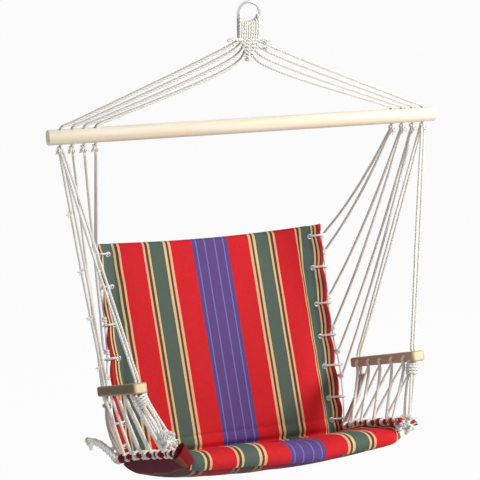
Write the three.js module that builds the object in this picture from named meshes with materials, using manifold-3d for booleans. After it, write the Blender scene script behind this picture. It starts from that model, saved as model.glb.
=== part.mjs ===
// Hammock chair that hangs from one steel ring.
// Millimetres, +Z up. The origin is the inside top of the ring, where a hook carries the chair.
// The chair faces -Y, and the spreader bar lies along X. Left is -X, as seen from the front.

import * as THREE from 'three';
import { mergeVertices } from 'three/addons/utils/BufferGeometryUtils.js';
import Module from 'manifold-3d';

const wasm = await Module();
wasm.setup();

// Clearances
const CLEARANCE = 0.3; // gap between pieces that touch
const OVERRUN = 2; // how far a cutting shape runs past what it cuts

// Rope
const ROPE = 6; // diameter of the hanging rope
const ROPE_SIDES = 8;
const KNOT = 16; // diameter of an overhand knot in the hanging rope
const KNOT_SIDES = 8;
const KNOT_BANDS = 6;
const SAG_SHARE = 0.045; // how far a slack rope drops in its middle, as a share of its length
const QUARTER_SAG_SHARE = 0.25; // how far a hanging curve lies under its chords at its quarter points

// Hanging ring
const RING_INNER = 45; // inner diameter
const RING_WIRE = 6; // wire diameter
const RING_SIDES = 8;
const RING_STEPS = 28;

// Rope loops over the ring, and the bound neck under them
const LOOP_COUNT = 9;
const LOOP_PITCH_SHARE = 0.84; // of the rope's diameter, so that neighbours press together
const LOOP_SIDES = 6;
const LOOP_TURN_SHARES = [0.25, 0.5, 0.75]; // of the half turn over the ring's wire
const NECK_TOP = 66; // below the origin: where the loops end in the neck
const NECK_BUNDLE_HEIGHT = 12; // straight bundle above the braid
const NECK_WIDTH = 48;
const NECK_DEPTH = 20;
const BRAID_LENGTH = 54;
const BRAID_SIDES = 12;
const BRAID_LEVEL_SHARES = [0, 0.12, 0.3, 0.55, 0.85, 1]; // down the braid
const BRAID_WIDTH_SHARES = [0.92, 0.78, 0.6, 0.47, 0.3, 0.16]; // of the neck's width and depth
const BRAID_DEPTH_SHARES = [1, 1, 1, 0.95, 0.88, 0.7];

// Spreader bar
const BAR_LENGTH = 950;
const BAR_DIAMETER = 35;
const BAR_DROP = 280; // from the ring's inside top down to the bar's axis
const BAR_EDGE = 3; // rounded end edge
const BAR_SIDES = 20;
const BAR_HOLE_COUNT = 4; // at each end
const BAR_HOLE_END = 30; // from the bar's end to its first hole
const BAR_HOLE_PITCH = 27;
const BAR_HOLE_SIDES = 8;
const BRIDLE_EXIT_SHARES = [0.12, 0.34, 0.6, 0.86]; // down the braid, outermost hole first
const BRIDLE_LIFT = 14; // height above the bar at which a bridle rope starts to turn down
const BRIDLE_RUN = 30; // distance before the hole at which it starts to turn down

// Back cushion, measured in the plane of the back from the fold line
const BACK_LENGTH = 533; // from the fold line to the top edge
const BACK_LEAN = 17.9; // degrees from the vertical
const BACK_HALF_TOP = 292;
const BACK_HALF_BOTTOM = 299;
const BACK_DRAW_IN = 4; // how far the sides pull in between the corners
const BACK_THICKNESS = 26;
const BACK_HEM = 8; // thickness at the hem
const BACK_HEM_WIDTH = 36; // flat hem at each side
const BACK_SWELL = 50; // from the hem's inner edge to the full thickness
const BACK_TOP_SAG = 9; // the top edge hangs lower in its middle
const FOLD_GAP = 10; // from the fold line to the filling of the back and of the seat
const SEAM_HEIGHT = 36; // sewn line across the back, above the fold line
const SEAM_HALF_WIDTH = 7;
const SEAM_DEPTH_SHARE = 0.3; // of the thickness
const BACK_EDGE = 13; // radius at the back's ends
const BACK_EDGE_SHARES = [1 / 3, 1]; // of that radius, where the rounding has a level
const BACK_LEVEL_SHARES = [0.2, 0.4, 0.6, 0.8]; // from the sewn line to the top's rounding

// Stations from a cushion's middle to its side, closer together at the side
const ACROSS_SHARES = [0.25, 0.5, 0.72, 0.83, 0.878, 0.94, 0.975, 0.99, 0.9985];

// Seat cushion, measured along the seat from the fold line
const FOLD_Y = 113; // the fold line lies behind the bar
const FOLD_DROP = 1105.6; // and below the origin
const SEAT_PITCH = 20.4; // degrees, front edge up
const SEAT_DEPTH = 429; // from the fold line to the front of the roll
const SEAT_HALF_REAR = 288;
const SEAT_HALF_FRONT = 262;
const SEAT_DRAW_IN = 5;
const SEAT_TOP = 16; // height of the top over the fold line, square to the seat
const SEAT_UNDER_SIDE = 24; // depth of the underside at the hem
const SEAT_UNDER_FRONT = 44; // depth of the roll's lower edge in its middle
const SEAT_UNDER_BELLY = 58; // deepest point of the underside
const SEAT_TOP_SAG = 20; // hollow of the top in its middle
const SEAT_BELLY_SHARE = 0.58; // of the depth, where the underside is deepest
const SEAT_ROLL = 26; // radius of the front roll
const SEAT_REAR_EDGE = 16; // radius of the rear end
const SEAT_HEM = 16; // radius of the side hem
const SEAT_REAR_SHARES = [0.25, 1]; // of the rear end's radius
const SEAT_MIDDLE_SHARES = [0.15, 0.3, 0.45, 0.6, 0.75, 0.88]; // between the rear end and the roll
const SEAT_ROLL_SHARES = [1, 0.5, 0.2, 0.05]; // of the roll's radius, back from its front

// Lacing along the back's two sides
const LACE = 4; // diameter of the lacing rope
const EYELET_HOLE = 8;
const EYELET_SIDES = 8;
const EYELET_DROPS = [32, 112, 205, 287, 364, 445, 501]; // down the back from its top edge
const EYELET_INSET = 30; // from the hem's edge
const LACE_SQUARE_SHARE = 0.35; // power that squares a loop: 1 leaves it an ellipse
const LACE_LOOP_STEPS = 8;
const LACE_SIDES = 5;

// Rope along the seat's two sides, and its free tail
const EDGE_ROPE = 8;
const EDGE_ROPE_SHARES = [0.04, 0.25, 0.5, 0.75, 0.93]; // of the seat's depth
const TAIL = 15; // diameter of the bound tail
const TAIL_KNOT = 22;
const TAIL_ROUTE = [
  [-293, 98, -1103],
  [-308, 100, -1089],
  [-325, 102, -1070],
  [-342, 104, -1054],
  [-358, 104, -1046],
  [-374, 103, -1043],
];
const CORNER_KNOT = 34; // knot at the seat's front corner
const CORNER_RISE = 36; // height of that knot's centre over the seat's front corner
const CORNER_OUT = 20; // and its distance out from the corner
const CORNER_FORWARD = 10;

// Bundles of rope between an armrest and the seat
const TIE = 12;

// Armrests
const ARM_LENGTH = 360;
const ARM_WIDTH = 34;
const ARM_THICKNESS = 24;
const ARM_CORNER = 10;
const ARM_ROUND = 5; // rounded long edges
const ARM_ROUND_STEPS = 2;
const ARM_CORNER_STEPS = 3;
const ARM_HALF_SPREAD = 333; // from the middle of the chair to a board's centre
const ARM_Y = -61; // the board's centre lies in front of the bar
const ARM_RISE = 241.6; // board's centre over the fold line
const ARM_PITCH = 19.2; // degrees, front end up
const ARM_TOE = 1.3; // degrees, front ends apart
const ARM_POST_INSET = 26; // from a board's end to the hole of the rope that carries it
const POST_STRAIGHT_SHARE = 0.9; // of the way down to the board, where its rope turns into the hole
const POST_LOW_SHARE = 1 / 3; // of the board's thickness over its middle, where the rope turns down
const NET_COUNT = 5; // ropes of the net under a board
const NET_HOLE_REAR = 52; // from the rear end to the first net hole
const NET_HOLE_PITCH = 66;
const NET_HOLE_RISE = 2; // above the board's middle
const NET_INNER_FOOT_SHARES = [0.17, 0.32, 0.48, 0.66, 0.8]; // of the seat's depth
const NET_OUTER_FOOT_SHARES = [0.08, 0.195, 0.345, 0.505, 0.685];
const NET_FOOT_GAP = 0.7; // round the side rope, so that a leaning armrest's net clears it
const NET_STRAIGHT_SHARE = 0.9; // of the way up to the board, where a net rope bends to its hole
const REAR_TIE_FOOT_SHARE = 0.14; // of the seat's depth, where the rear tie ends

// Where the ropes that carry the back end, down the back from its top edge
const BACK_ROPE_DROPS = [32, 74, 190, 269, 318, 392];

// Finish
const WOOD = { color: 0xe8d3ab, roughness: 0.55, metalness: 0 };
const ARM_WOOD = { color: 0xb99a6b, roughness: 0.6, metalness: 0 };
const COTTON = { color: 0xece8da, roughness: 0.9, metalness: 0 };
const CANVAS = { color: 0xc8222b, roughness: 0.85, metalness: 0 };
const STEEL = { color: 0xc4c7ca, roughness: 0.28, metalness: 1 };

// Sizes that follow
const RAD = Math.PI / 180;
const RING_MID = (RING_INNER + RING_WIRE) / 2;
const RING_DROP = RING_INNER / 2;
const BRAID_TOP = NECK_TOP + NECK_BUNDLE_HEIGHT + CLEARANCE;
const BRIDLE_SPACING = ROPE + 2 * CLEARANCE;
const BAR_HOLE = (BRIDLE_SPACING + ROPE + 2 * CLEARANCE) / Math.cos(Math.PI / BAR_HOLE_SIDES);
const ROPE_HOLE = ROPE + 2 * CLEARANCE;
const BAR_UNDER = BAR_DROP + BAR_DIAMETER / 2;
const KNOT_DROP = BAR_UNDER + CLEARANCE + KNOT / 2;

const group = new THREE.Group();

// A closed geometry as a solid that can be joined and cut
function solidOf(geometry) {
  const bare = geometry.clone();
  bare.deleteAttribute('normal');
  bare.deleteAttribute('uv');
  const merged = mergeVertices(bare);
  const vertProperties = new Float32Array(merged.attributes.position.array);
  const triVerts = new Uint32Array(merged.index.array);
  return new wasm.Manifold(new wasm.Mesh({ numProp: 3, vertProperties, triVerts }));
}

function geometryOf(solid) {
  const mesh = solid.getMesh();
  const geometry = new THREE.BufferGeometry();
  geometry.setAttribute('position', new THREE.BufferAttribute(mesh.vertProperties, 3));
  geometry.setIndex(new THREE.BufferAttribute(mesh.triVerts, 1));
  geometry.computeVertexNormals();
  return geometry;
}

function unite(solids) {
  return solids.reduce((whole, next) => whole.add(next));
}

function addPiece(parent, name, geometry, finish) {
  const mesh = new THREE.Mesh(geometry, new THREE.MeshStandardMaterial(finish));
  mesh.name = name;
  parent.add(mesh);
  return mesh;
}

function lerp(from, to, share) {
  return from + (to - from) * share;
}

function sideName(side) {
  return side < 0 ? 'left' : 'right';
}

// A tube along a smooth curve, with the same number of steps from each point to the next
function ropeAlong(points, diameter, stepsPerSpan, sides = ROPE_SIDES) {
  const corners = [];
  for (let k = 0; k < sides; k += 1) {
    const turn = ((k + 0.5) / sides) * 2 * Math.PI;
    corners.push(new THREE.Vector2(Math.cos(turn), Math.sin(turn)).multiplyScalar(diameter / 2));
  }
  const extrudePath = new THREE.CatmullRomCurve3(points, false, 'centripetal');
  extrudePath.getPointAt = (share, target) => extrudePath.getPoint(share, target);
  extrudePath.getTangentAt = (share, target) => extrudePath.getTangent(share, target);
  const steps = (points.length - 1) * stepsPerSpan;
  return new THREE.ExtrudeGeometry(new THREE.Shape(corners), { extrudePath, steps });
}

// Points of a rope between two ends that drops by its own weight
function saggingPoints(start, end) {
  const drop = start.distanceTo(end) * SAG_SHARE;
  const middle = start.clone().lerp(end, 0.5);
  middle.z -= drop;
  const between = (from) => {
    const quarter = from.clone().lerp(middle, 0.5);
    quarter.z -= drop * QUARTER_SAG_SHARE;
    return quarter;
  };
  return [start, between(start), middle, between(end), end];
}

function knotAt(centre, diameter) {
  const ball = new THREE.SphereGeometry(diameter / 2, KNOT_SIDES, KNOT_BANDS);
  ball.rotateZ(Math.PI / 2);
  ball.translate(centre.x, centre.y, centre.z);
  return ball;
}

function rodAlongZ(diameter, length, sides) {
  return new THREE.CylinderGeometry(diameter / 2, diameter / 2, length, sides).rotateX(Math.PI / 2);
}

// A closed skin over rings of points. A strip from side to side closes each end.
function loft(rings) {
  const count = rings[0].length;
  const positions = rings.flat().flatMap((p) => [p.x, p.y, p.z]);
  const index = [];
  for (let r = 0; r + 1 < rings.length; r += 1) {
    for (let k = 0; k < count; k += 1) {
      const a = r * count + k;
      const b = r * count + ((k + 1) % count);
      index.push(a, b, a + count, b, b + count, a + count);
    }
  }
  const close = (first, turned) => {
    const face = (a, b, c) => index.push(first + a, first + (turned ? c : b), first + (turned ? b : c));
    for (let k = 0; 2 * k + 1 < count; k += 1) {
      face(k, k + 1, (count - k) % count);
      if (2 * k + 2 < count) {
        face(k + 1, count - k - 1, (count - k) % count);
      }
    }
  };
  close(0, true);
  close((rings.length - 1) * count, false);
  const geometry = new THREE.BufferGeometry();
  geometry.setAttribute('position', new THREE.BufferAttribute(new Float32Array(positions), 3));
  geometry.setIndex(index);
  geometry.computeVertexNormals();
  return geometry;
}

// Half of the thickness near a rounded end: a quarter circle, then full
function roundedHalf(distance, radius) {
  const short = Math.max(0, radius - distance);
  return Math.sqrt(Math.max(0, radius * radius - short * short)) / radius;
}

// Places on the chair
function holeX(side, hole) {
  return side * (BAR_LENGTH / 2 - BAR_HOLE_END - hole * BAR_HOLE_PITCH);
}

function knotCentre(side, hole) {
  return new THREE.Vector3(holeX(side, hole), 0, -KNOT_DROP);
}

function backPoint(x, up, front) {
  const lean = BACK_LEAN * RAD;
  const y = FOLD_Y + up * Math.sin(lean) - front * Math.cos(lean);
  return new THREE.Vector3(x, y, -FOLD_DROP + up * Math.cos(lean) + front * Math.sin(lean));
}

function seatPoint(x, forward, over) {
  const pitch = SEAT_PITCH * RAD;
  const y = FOLD_Y - forward * Math.cos(pitch) + over * Math.sin(pitch);
  return new THREE.Vector3(x, y, -FOLD_DROP + forward * Math.sin(pitch) + over * Math.cos(pitch));
}

function backHalfWidth(up) {
  const share = up / BACK_LENGTH;
  return lerp(BACK_HALF_BOTTOM, BACK_HALF_TOP, share) - BACK_DRAW_IN * Math.sin(Math.PI * share);
}

function seatHalfWidth(forward) {
  const share = forward / SEAT_DEPTH;
  return lerp(SEAT_HALF_REAR, SEAT_HALF_FRONT, share) - SEAT_DRAW_IN * Math.sin(Math.PI * share);
}

// Basis of a board: across points outward, along points to the front
function armBasis(side) {
  const pitch = ARM_PITCH * RAD;
  const toe = ARM_TOE * RAD;
  const flat = Math.cos(pitch);
  const along = new THREE.Vector3(side * Math.sin(toe) * flat, -Math.cos(toe) * flat, Math.sin(pitch));
  const across = new THREE.Vector3(side * Math.cos(toe), Math.sin(toe), 0);
  const up = along.clone().cross(across).multiplyScalar(side);
  const centre = new THREE.Vector3(side * ARM_HALF_SPREAD, ARM_Y, ARM_RISE - FOLD_DROP);
  return { along, across, up, centre };
}

function armPoint(side, across, fromRear, up) {
  const basis = armBasis(side);
  return basis.centre
    .clone()
    .addScaledVector(basis.across, across)
    .addScaledVector(basis.along, fromRear - ARM_LENGTH / 2)
    .addScaledVector(basis.up, up);
}

// Steel ring
function ringGeometry(grow) {
  const ring = new THREE.TorusGeometry(RING_MID, RING_WIRE / 2 + grow, RING_SIDES, RING_STEPS);
  return ring.rotateX(Math.PI / 2).translate(0, 0, -RING_DROP);
}

// Loops of rope over the bottom of the ring, pressed together side by side
function ringLoops() {
  const pitch = ROPE * LOOP_PITCH_SHARE;
  const loops = [];
  for (let k = 0; k < LOOP_COUNT; k += 1) {
    const x = (k - (LOOP_COUNT - 1) / 2) * pitch;
    const steep = Math.sqrt(RING_MID * RING_MID - x * x);
    const wireZ = -RING_DROP - steep;
    const reachY = (RING_WIRE + ROPE) / 2 + CLEARANCE;
    const reachZ = (RING_WIRE / 2) * (RING_MID / steep) + ROPE / 2 + CLEARANCE;
    const points = [new THREE.Vector3(x, -reachY, -NECK_TOP), new THREE.Vector3(x, -reachY, wireZ)];
    for (const share of LOOP_TURN_SHARES) {
      const y = -reachY * Math.cos(Math.PI * share);
      points.push(new THREE.Vector3(x, y, wireZ + reachZ * Math.sin(Math.PI * share)));
    }
    points.push(new THREE.Vector3(x, reachY, wireZ), new THREE.Vector3(x, reachY, -NECK_TOP));
    loops.push(solidOf(ropeAlong(points, ROPE, 1, LOOP_SIDES)));
  }
  return unite(loops).subtract(solidOf(ringGeometry(CLEARANCE)));
}

function ellipseRing(width, depth, z) {
  const ring = [];
  for (let k = 0; k < BRAID_SIDES; k += 1) {
    const turn = (k / BRAID_SIDES) * 2 * Math.PI;
    ring.push(new THREE.Vector3((width / 2) * Math.cos(turn), (depth / 2) * Math.sin(turn), z));
  }
  return ring;
}

function neckBundle() {
  const top = -NECK_TOP - CLEARANCE;
  const bottom = -NECK_TOP - NECK_BUNDLE_HEIGHT;
  return loft([bottom, top].map((z) => ellipseRing(NECK_WIDTH, NECK_DEPTH, z)));
}

function neckBraid(grow) {
  const rings = BRAID_LEVEL_SHARES.map((share, k) => {
    const width = NECK_WIDTH * BRAID_WIDTH_SHARES[k] + 2 * grow;
    const depth = NECK_DEPTH * BRAID_DEPTH_SHARES[k] + 2 * grow;
    const end = k === 0 ? grow : k === BRAID_LEVEL_SHARES.length - 1 ? -grow : 0;
    return ellipseRing(width, depth, -BRAID_TOP - BRAID_LENGTH * share + end);
  });
  return loft(rings.reverse());
}

// Two ropes run from the braid to one hole of the bar, through it and into a knot under it
function bridleRopes(side, hole) {
  const x = holeX(side, hole);
  const barTop = -BAR_DROP + BAR_DIAMETER / 2;
  const exitZ = -BRAID_TOP - BRAID_LENGTH * BRIDLE_EXIT_SHARES[hole];
  const from = new THREE.Vector3(0, 0, exitZ);
  const turn = new THREE.Vector3(x - side * BRIDLE_RUN, 0, barTop + BRIDLE_LIFT);
  const mouth = new THREE.Vector3(x - side * ROPE / 2, 0, barTop + ROPE / 2);
  const inside = new THREE.Vector3(x, 0, barTop - ROPE);
  const end = knotCentre(side, hole);
  return [-1, 1].map((face) => {
    const shift = new THREE.Vector3(0, (face * BRIDLE_SPACING) / 2, 0);
    const route = [from, turn, mouth, inside, end].map((p) => p.clone().add(shift));
    return solidOf(ropeAlong(route, ROPE, 1));
  });
}

function bridle(side, hole, braid) {
  const ropes = unite(bridleRopes(side, hole)).subtract(braid);
  return ropes.add(solidOf(knotAt(knotCentre(side, hole), KNOT)));
}

// Dowel with rounded ends and the rope holes
function spreaderBar() {
  const radius = BAR_DIAMETER / 2;
  const half = BAR_LENGTH / 2;
  const bend = BAR_EDGE * (1 - Math.SQRT1_2);
  const profile = [
    [0, -half],
    [radius - BAR_EDGE, -half],
    [radius - bend, -half + bend],
    [radius, -half + BAR_EDGE],
    [radius, half - BAR_EDGE],
    [radius - bend, half - bend],
    [radius - BAR_EDGE, half],
    [0, half],
  ].map(([r, at]) => new THREE.Vector2(r, at));
  const dowel = new THREE.LatheGeometry(profile, BAR_SIDES).rotateZ(Math.PI / 2);
  dowel.translate(0, 0, -BAR_DROP);
  const cuts = [];
  for (const side of [-1, 1]) {
    for (let hole = 0; hole < BAR_HOLE_COUNT; hole += 1) {
      const drill = rodAlongZ(BAR_HOLE, BAR_DIAMETER + 2 * OVERRUN, BAR_HOLE_SIDES);
      drill.translate(holeX(side, hole), 0, -BAR_DROP);
      cuts.push(solidOf(drill));
    }
  }
  return solidOf(dowel).subtract(unite(cuts));
}

// Back cushion, in the frame of the fold line: X across, Z up the back, -Y to the front
function backCushion() {
  const rings = acrossStations().map((across) => {
    const inset = (1 - Math.abs(across)) * BACK_HALF_TOP;
    const round = roundedHalf(inset, BACK_HEM / 2);
    const fullness = roundedHalf(Math.max(0, inset - BACK_HEM_WIDTH), BACK_SWELL);
    const half = lerp(BACK_HEM, BACK_THICKNESS, fullness) / 2;
    const top = BACK_LENGTH - BACK_TOP_SAG * (1 - across * across);
    const point = (up, face) => {
      const ends = roundedHalf(Math.min(up - FOLD_GAP, top - up), BACK_EDGE);
      const seam = Math.max(0, 1 - Math.abs(up - SEAM_HEIGHT) / SEAM_HALF_WIDTH) * SEAM_DEPTH_SHARE;
      const deep = half * ends * (1 - seam) * round;
      return new THREE.Vector3(across * backHalfWidth(up), -face * deep, up);
    };
    const levels = backLevels(top);
    const rear = levels.map((up) => point(up, -1));
    const front = levels.map((up) => point(up, 1)).reverse();
    return [point(FOLD_GAP, 1), ...rear, point(top, 1), ...front];
  });
  const cushion = solidOf(loft(rings));
  const drills = [];
  for (const side of [-1, 1]) {
    for (const drop of EYELET_DROPS) {
      const at = eyelet(side, drop);
      const drill = rodAlongZ(EYELET_HOLE, BACK_HEM + 2 * OVERRUN, EYELET_SIDES).rotateX(Math.PI / 2);
      drills.push(solidOf(drill.translate(at.x, 0, at.up)));
    }
  }
  return cushion.subtract(unite(drills));
}

// Stations across a cushion, from its left side to its right side
function acrossStations() {
  const left = ACROSS_SHARES.map((share) => -share).reverse();
  return [...left, 0, ...ACROSS_SHARES];
}

function backLevels(top) {
  const foot = BACK_EDGE_SHARES.map((share) => FOLD_GAP + BACK_EDGE * share);
  const low = [...foot, SEAM_HEIGHT, SEAM_HEIGHT + SEAM_HALF_WIDTH];
  const high = BACK_EDGE_SHARES.map((share) => top - BACK_EDGE * share).reverse();
  const middle = BACK_LEVEL_SHARES.map((share) => lerp(low[low.length - 1], high[0], share));
  return [...low, ...middle, ...high];
}

function eyelet(side, drop) {
  const up = BACK_LENGTH - drop;
  return { up, x: side * (backHalfWidth(up) - EYELET_INSET) };
}

// A closed loop of rope with flattened sides, in the XY plane
function squareLoop(halfX, halfY, radius) {
  const loop = new THREE.TorusGeometry(halfX, radius, LACE_SIDES, LACE_LOOP_STEPS);
  const at = loop.attributes.position;
  const squared = (t) => Math.sign(t) * Math.abs(t) ** LACE_SQUARE_SHARE;
  for (let k = 0; k < at.count; k += 1) {
    const turn = Math.atan2(at.getY(k), at.getX(k));
    const cos = Math.cos(turn);
    const sin = Math.sin(turn);
    at.setX(k, at.getX(k) + halfX * (squared(cos) - cos));
    at.setY(k, at.getY(k) + halfY * squared(sin) - halfX * sin);
  }
  return loop;
}

function laceX(up) {
  return backHalfWidth(up) + LACE / 2 + CLEARANCE;
}

// Rope that runs down the hem and goes round it through each eyelet
function backLacing(side, grow) {
  const eyelets = EYELET_DROPS.map((drop) => eyelet(side, drop));
  const last = eyelets[eyelets.length - 1];
  const ends = [eyelets[0].up + LACE, ...eyelets.map((e) => e.up), last.up - LACE];
  const cord = ends.map((up) => new THREE.Vector3(side * laceX(up), 0, up));
  const parts = [solidOf(ropeAlong(cord, LACE + 2 * grow, 1, LACE_SIDES))];
  for (const at of eyelets) {
    const reach = (laceX(at.up) - Math.abs(at.x)) / 2;
    const depth = ((BACK_HEM + LACE) / 2 + CLEARANCE) / Math.SQRT1_2 ** LACE_SQUARE_SHARE;
    const loop = squareLoop(reach, depth, LACE / 2 + grow);
    parts.push(solidOf(loop.translate(side * (Math.abs(at.x) + reach), 0, at.up)));
  }
  return unite(parts);
}

// Seat cushion, in the frame of the fold line: X across, -Y along the seat, Z square to it
function seatCushion() {
  const rings = acrossStations().map((across) => {
    const middle = 1 - across * across;
    const point = (forward, face) => {
      const share = forward / SEAT_DEPTH;
      const belly = Math.sin(Math.PI * Math.min(1, share / (2 * SEAT_BELLY_SHARE)));
      const toFront = Math.max(0, share - SEAT_BELLY_SHARE) / (1 - SEAT_BELLY_SHARE);
      const deepest = lerp(SEAT_UNDER_BELLY * belly, SEAT_UNDER_FRONT, toFront * toFront);
      const under = Math.max(SEAT_UNDER_SIDE, lerp(SEAT_UNDER_SIDE, deepest, middle));
      const top = SEAT_TOP - SEAT_TOP_SAG * middle * Math.sin(Math.PI * share);
      const centre = (top - under) / 2;
      const rear = roundedHalf(forward - FOLD_GAP, SEAT_REAR_EDGE);
      const front = roundedHalf(SEAT_DEPTH - forward, SEAT_ROLL);
      const half = ((top + under) / 2) * Math.min(rear, front);
      const hem = roundedHalf((1 - Math.abs(across)) * SEAT_HALF_FRONT, SEAT_HEM);
      return new THREE.Vector3(across * seatHalfWidth(forward), -forward, centre + face * half * hem);
    };
    const stations = seatStations();
    const top = stations.map((forward) => point(forward, 1));
    const under = stations.map((forward) => point(forward, -1)).reverse();
    return [point(FOLD_GAP, 1), ...top, point(SEAT_DEPTH, 1), ...under];
  });
  return solidOf(loft(rings));
}

function seatStations() {
  const rear = SEAT_REAR_SHARES.map((share) => FOLD_GAP + SEAT_REAR_EDGE * share);
  const front = SEAT_ROLL_SHARES.map((share) => SEAT_DEPTH - SEAT_ROLL * share);
  const middle = SEAT_MIDDLE_SHARES.map((share) => lerp(rear[1], front[0], share));
  return [...rear, ...middle, ...front];
}

// Centre line of the rope along the seat's side
function edgeRopePoint(side, forward) {
  const over = (SEAT_TOP - SEAT_UNDER_SIDE) / 2;
  return seatPoint(side * (seatHalfWidth(forward) + EDGE_ROPE / 2 + CLEARANCE), forward, over);
}

function cornerKnotCentre(side) {
  const corner = seatPoint(side * (SEAT_HALF_FRONT + CORNER_OUT), SEAT_DEPTH - SEAT_ROLL, SEAT_TOP);
  corner.z += CORNER_RISE - SEAT_TOP;
  corner.y -= CORNER_FORWARD;
  return corner;
}

function edgeRope(side, grow) {
  const points = EDGE_ROPE_SHARES.map((share) => edgeRopePoint(side, SEAT_DEPTH * share));
  return solidOf(ropeAlong([...points, cornerKnotCentre(side)], EDGE_ROPE + 2 * grow, 1));
}

function cornerKnot(side, grow) {
  return solidOf(knotAt(cornerKnotCentre(side), CORNER_KNOT + 2 * grow));
}

// Free tail of the left side rope, bound round and knotted at its end
function ropeTail() {
  const route = TAIL_ROUTE.map((place) => new THREE.Vector3(...place));
  const end = route[route.length - 1];
  const tail = solidOf(ropeAlong(route, TAIL, 1)).add(solidOf(knotAt(end, TAIL_KNOT)));
  return tail.subtract(edgeRope(-1, CLEARANCE));
}

// Rounded board with upright holes near its ends and cross holes for the net
function armBoard() {
  const halfWidth = ARM_WIDTH / 2;
  const halfLength = ARM_LENGTH / 2;
  const outline = new THREE.Shape();
  outline.moveTo(-halfWidth + ARM_CORNER, -halfLength);
  outline.lineTo(halfWidth - ARM_CORNER, -halfLength);
  outline.absarc(halfWidth - ARM_CORNER, -halfLength + ARM_CORNER, ARM_CORNER, -Math.PI / 2, 0);
  outline.lineTo(halfWidth, halfLength - ARM_CORNER);
  outline.absarc(halfWidth - ARM_CORNER, halfLength - ARM_CORNER, ARM_CORNER, 0, Math.PI / 2);
  outline.lineTo(-halfWidth + ARM_CORNER, halfLength);
  outline.absarc(-halfWidth + ARM_CORNER, halfLength - ARM_CORNER, ARM_CORNER, Math.PI / 2, Math.PI);
  outline.lineTo(-halfWidth, -halfLength + ARM_CORNER);
  outline.absarc(-halfWidth + ARM_CORNER, -halfLength + ARM_CORNER, ARM_CORNER, Math.PI, Math.PI * 1.5);
  const board = new THREE.ExtrudeGeometry(outline, {
    depth: ARM_THICKNESS - 2 * ARM_ROUND,
    bevelThickness: ARM_ROUND,
    bevelSize: ARM_ROUND,
    bevelOffset: -ARM_ROUND,
    bevelSegments: ARM_ROUND_STEPS,
    curveSegments: ARM_CORNER_STEPS,
  });
  board.translate(0, 0, -ARM_THICKNESS / 2 + ARM_ROUND);
  const drills = [];
  for (const end of [-1, 1]) {
    const drill = rodAlongZ(ROPE_HOLE, ARM_THICKNESS + 2 * OVERRUN, ROPE_SIDES);
    drills.push(solidOf(drill.translate(0, end * (halfLength - ARM_POST_INSET), 0)));
  }
  for (let k = 0; k < NET_COUNT; k += 1) {
    const drill = rodAlongZ(ROPE_HOLE, ARM_WIDTH + 2 * OVERRUN, ROPE_SIDES).rotateY(Math.PI / 2);
    const at = halfLength - NET_HOLE_REAR - k * NET_HOLE_PITCH;
    drills.push(solidOf(drill.translate(0, at, NET_HOLE_RISE)));
  }
  return solidOf(board).subtract(unite(drills));
}

// One rope of the net: up the outside, through the board and down the inside
function netRope(side, k, edge) {
  const fromRear = NET_HOLE_REAR + k * NET_HOLE_PITCH;
  const out = ARM_WIDTH / 2 + ROPE / 2 + CLEARANCE;
  const outerFoot = edgeRopePoint(side, SEAT_DEPTH * NET_OUTER_FOOT_SHARES[k]);
  const innerFoot = edgeRopePoint(side, SEAT_DEPTH * NET_INNER_FOOT_SHARES[k]);
  const bend = (across, up) => armPoint(side, across, fromRear, NET_HOLE_RISE + up);
  const under = armPoint(side, out, fromRear, -ARM_THICKNESS / 2);
  const points = [
    outerFoot,
    outerFoot.clone().lerp(under, NET_STRAIGHT_SHARE),
    under,
    bend(out, -ROPE),
    bend(out, 0),
    bend(-out, 0),
    bend(-out, -ROPE),
    innerFoot,
  ];
  return solidOf(ropeAlong(points, ROPE, 1)).subtract(edge);
}

function armKnotCentre(side, fromRear) {
  const below = ARM_THICKNESS / 2 + CLEARANCE + KNOT / 2;
  return armPoint(side, 0, fromRear, -below);
}

// Knot under the board, and the rope that runs on from it to the seat
function armTie(side, fromRear, foot) {
  const centre = armKnotCentre(side, fromRear);
  const rope = solidOf(ropeAlong([centre, foot], TIE, 1));
  return rope.add(solidOf(knotAt(centre, KNOT)));
}

function hangingRope(start, end) {
  return solidOf(ropeAlong(saggingPoints(start, end), ROPE, 1));
}

// Places where a rope leaves a knot of the bar
function ropeStart(side, hole, face) {
  const start = knotCentre(side, hole);
  start.y += (face * BRIDLE_SPACING) / 2;
  return start;
}

// Assembly
addPiece(group, 'hanging_ring', ringGeometry(0), STEEL);
addPiece(group, 'ring_loops', geometryOf(ringLoops()), COTTON);
addPiece(group, 'neck_bundle', neckBundle(), COTTON);
addPiece(group, 'neck_braid', neckBraid(0), COTTON);
addPiece(group, 'spreader_bar', geometryOf(spreaderBar()), WOOD);

const fold = new THREE.Group();
fold.position.set(0, FOLD_Y, -FOLD_DROP);
group.add(fold);
const back = new THREE.Group();
back.rotation.x = -BACK_LEAN * RAD;
fold.add(back);
const seat = new THREE.Group();
seat.rotation.x = -SEAT_PITCH * RAD;
fold.add(seat);
addPiece(back, 'back_cushion', geometryOf(backCushion()), CANVAS);
addPiece(seat, 'seat_cushion', geometryOf(seatCushion()), CANVAS);

addPiece(group, 'left_rope_tail', geometryOf(ropeTail()), COTTON);

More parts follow.
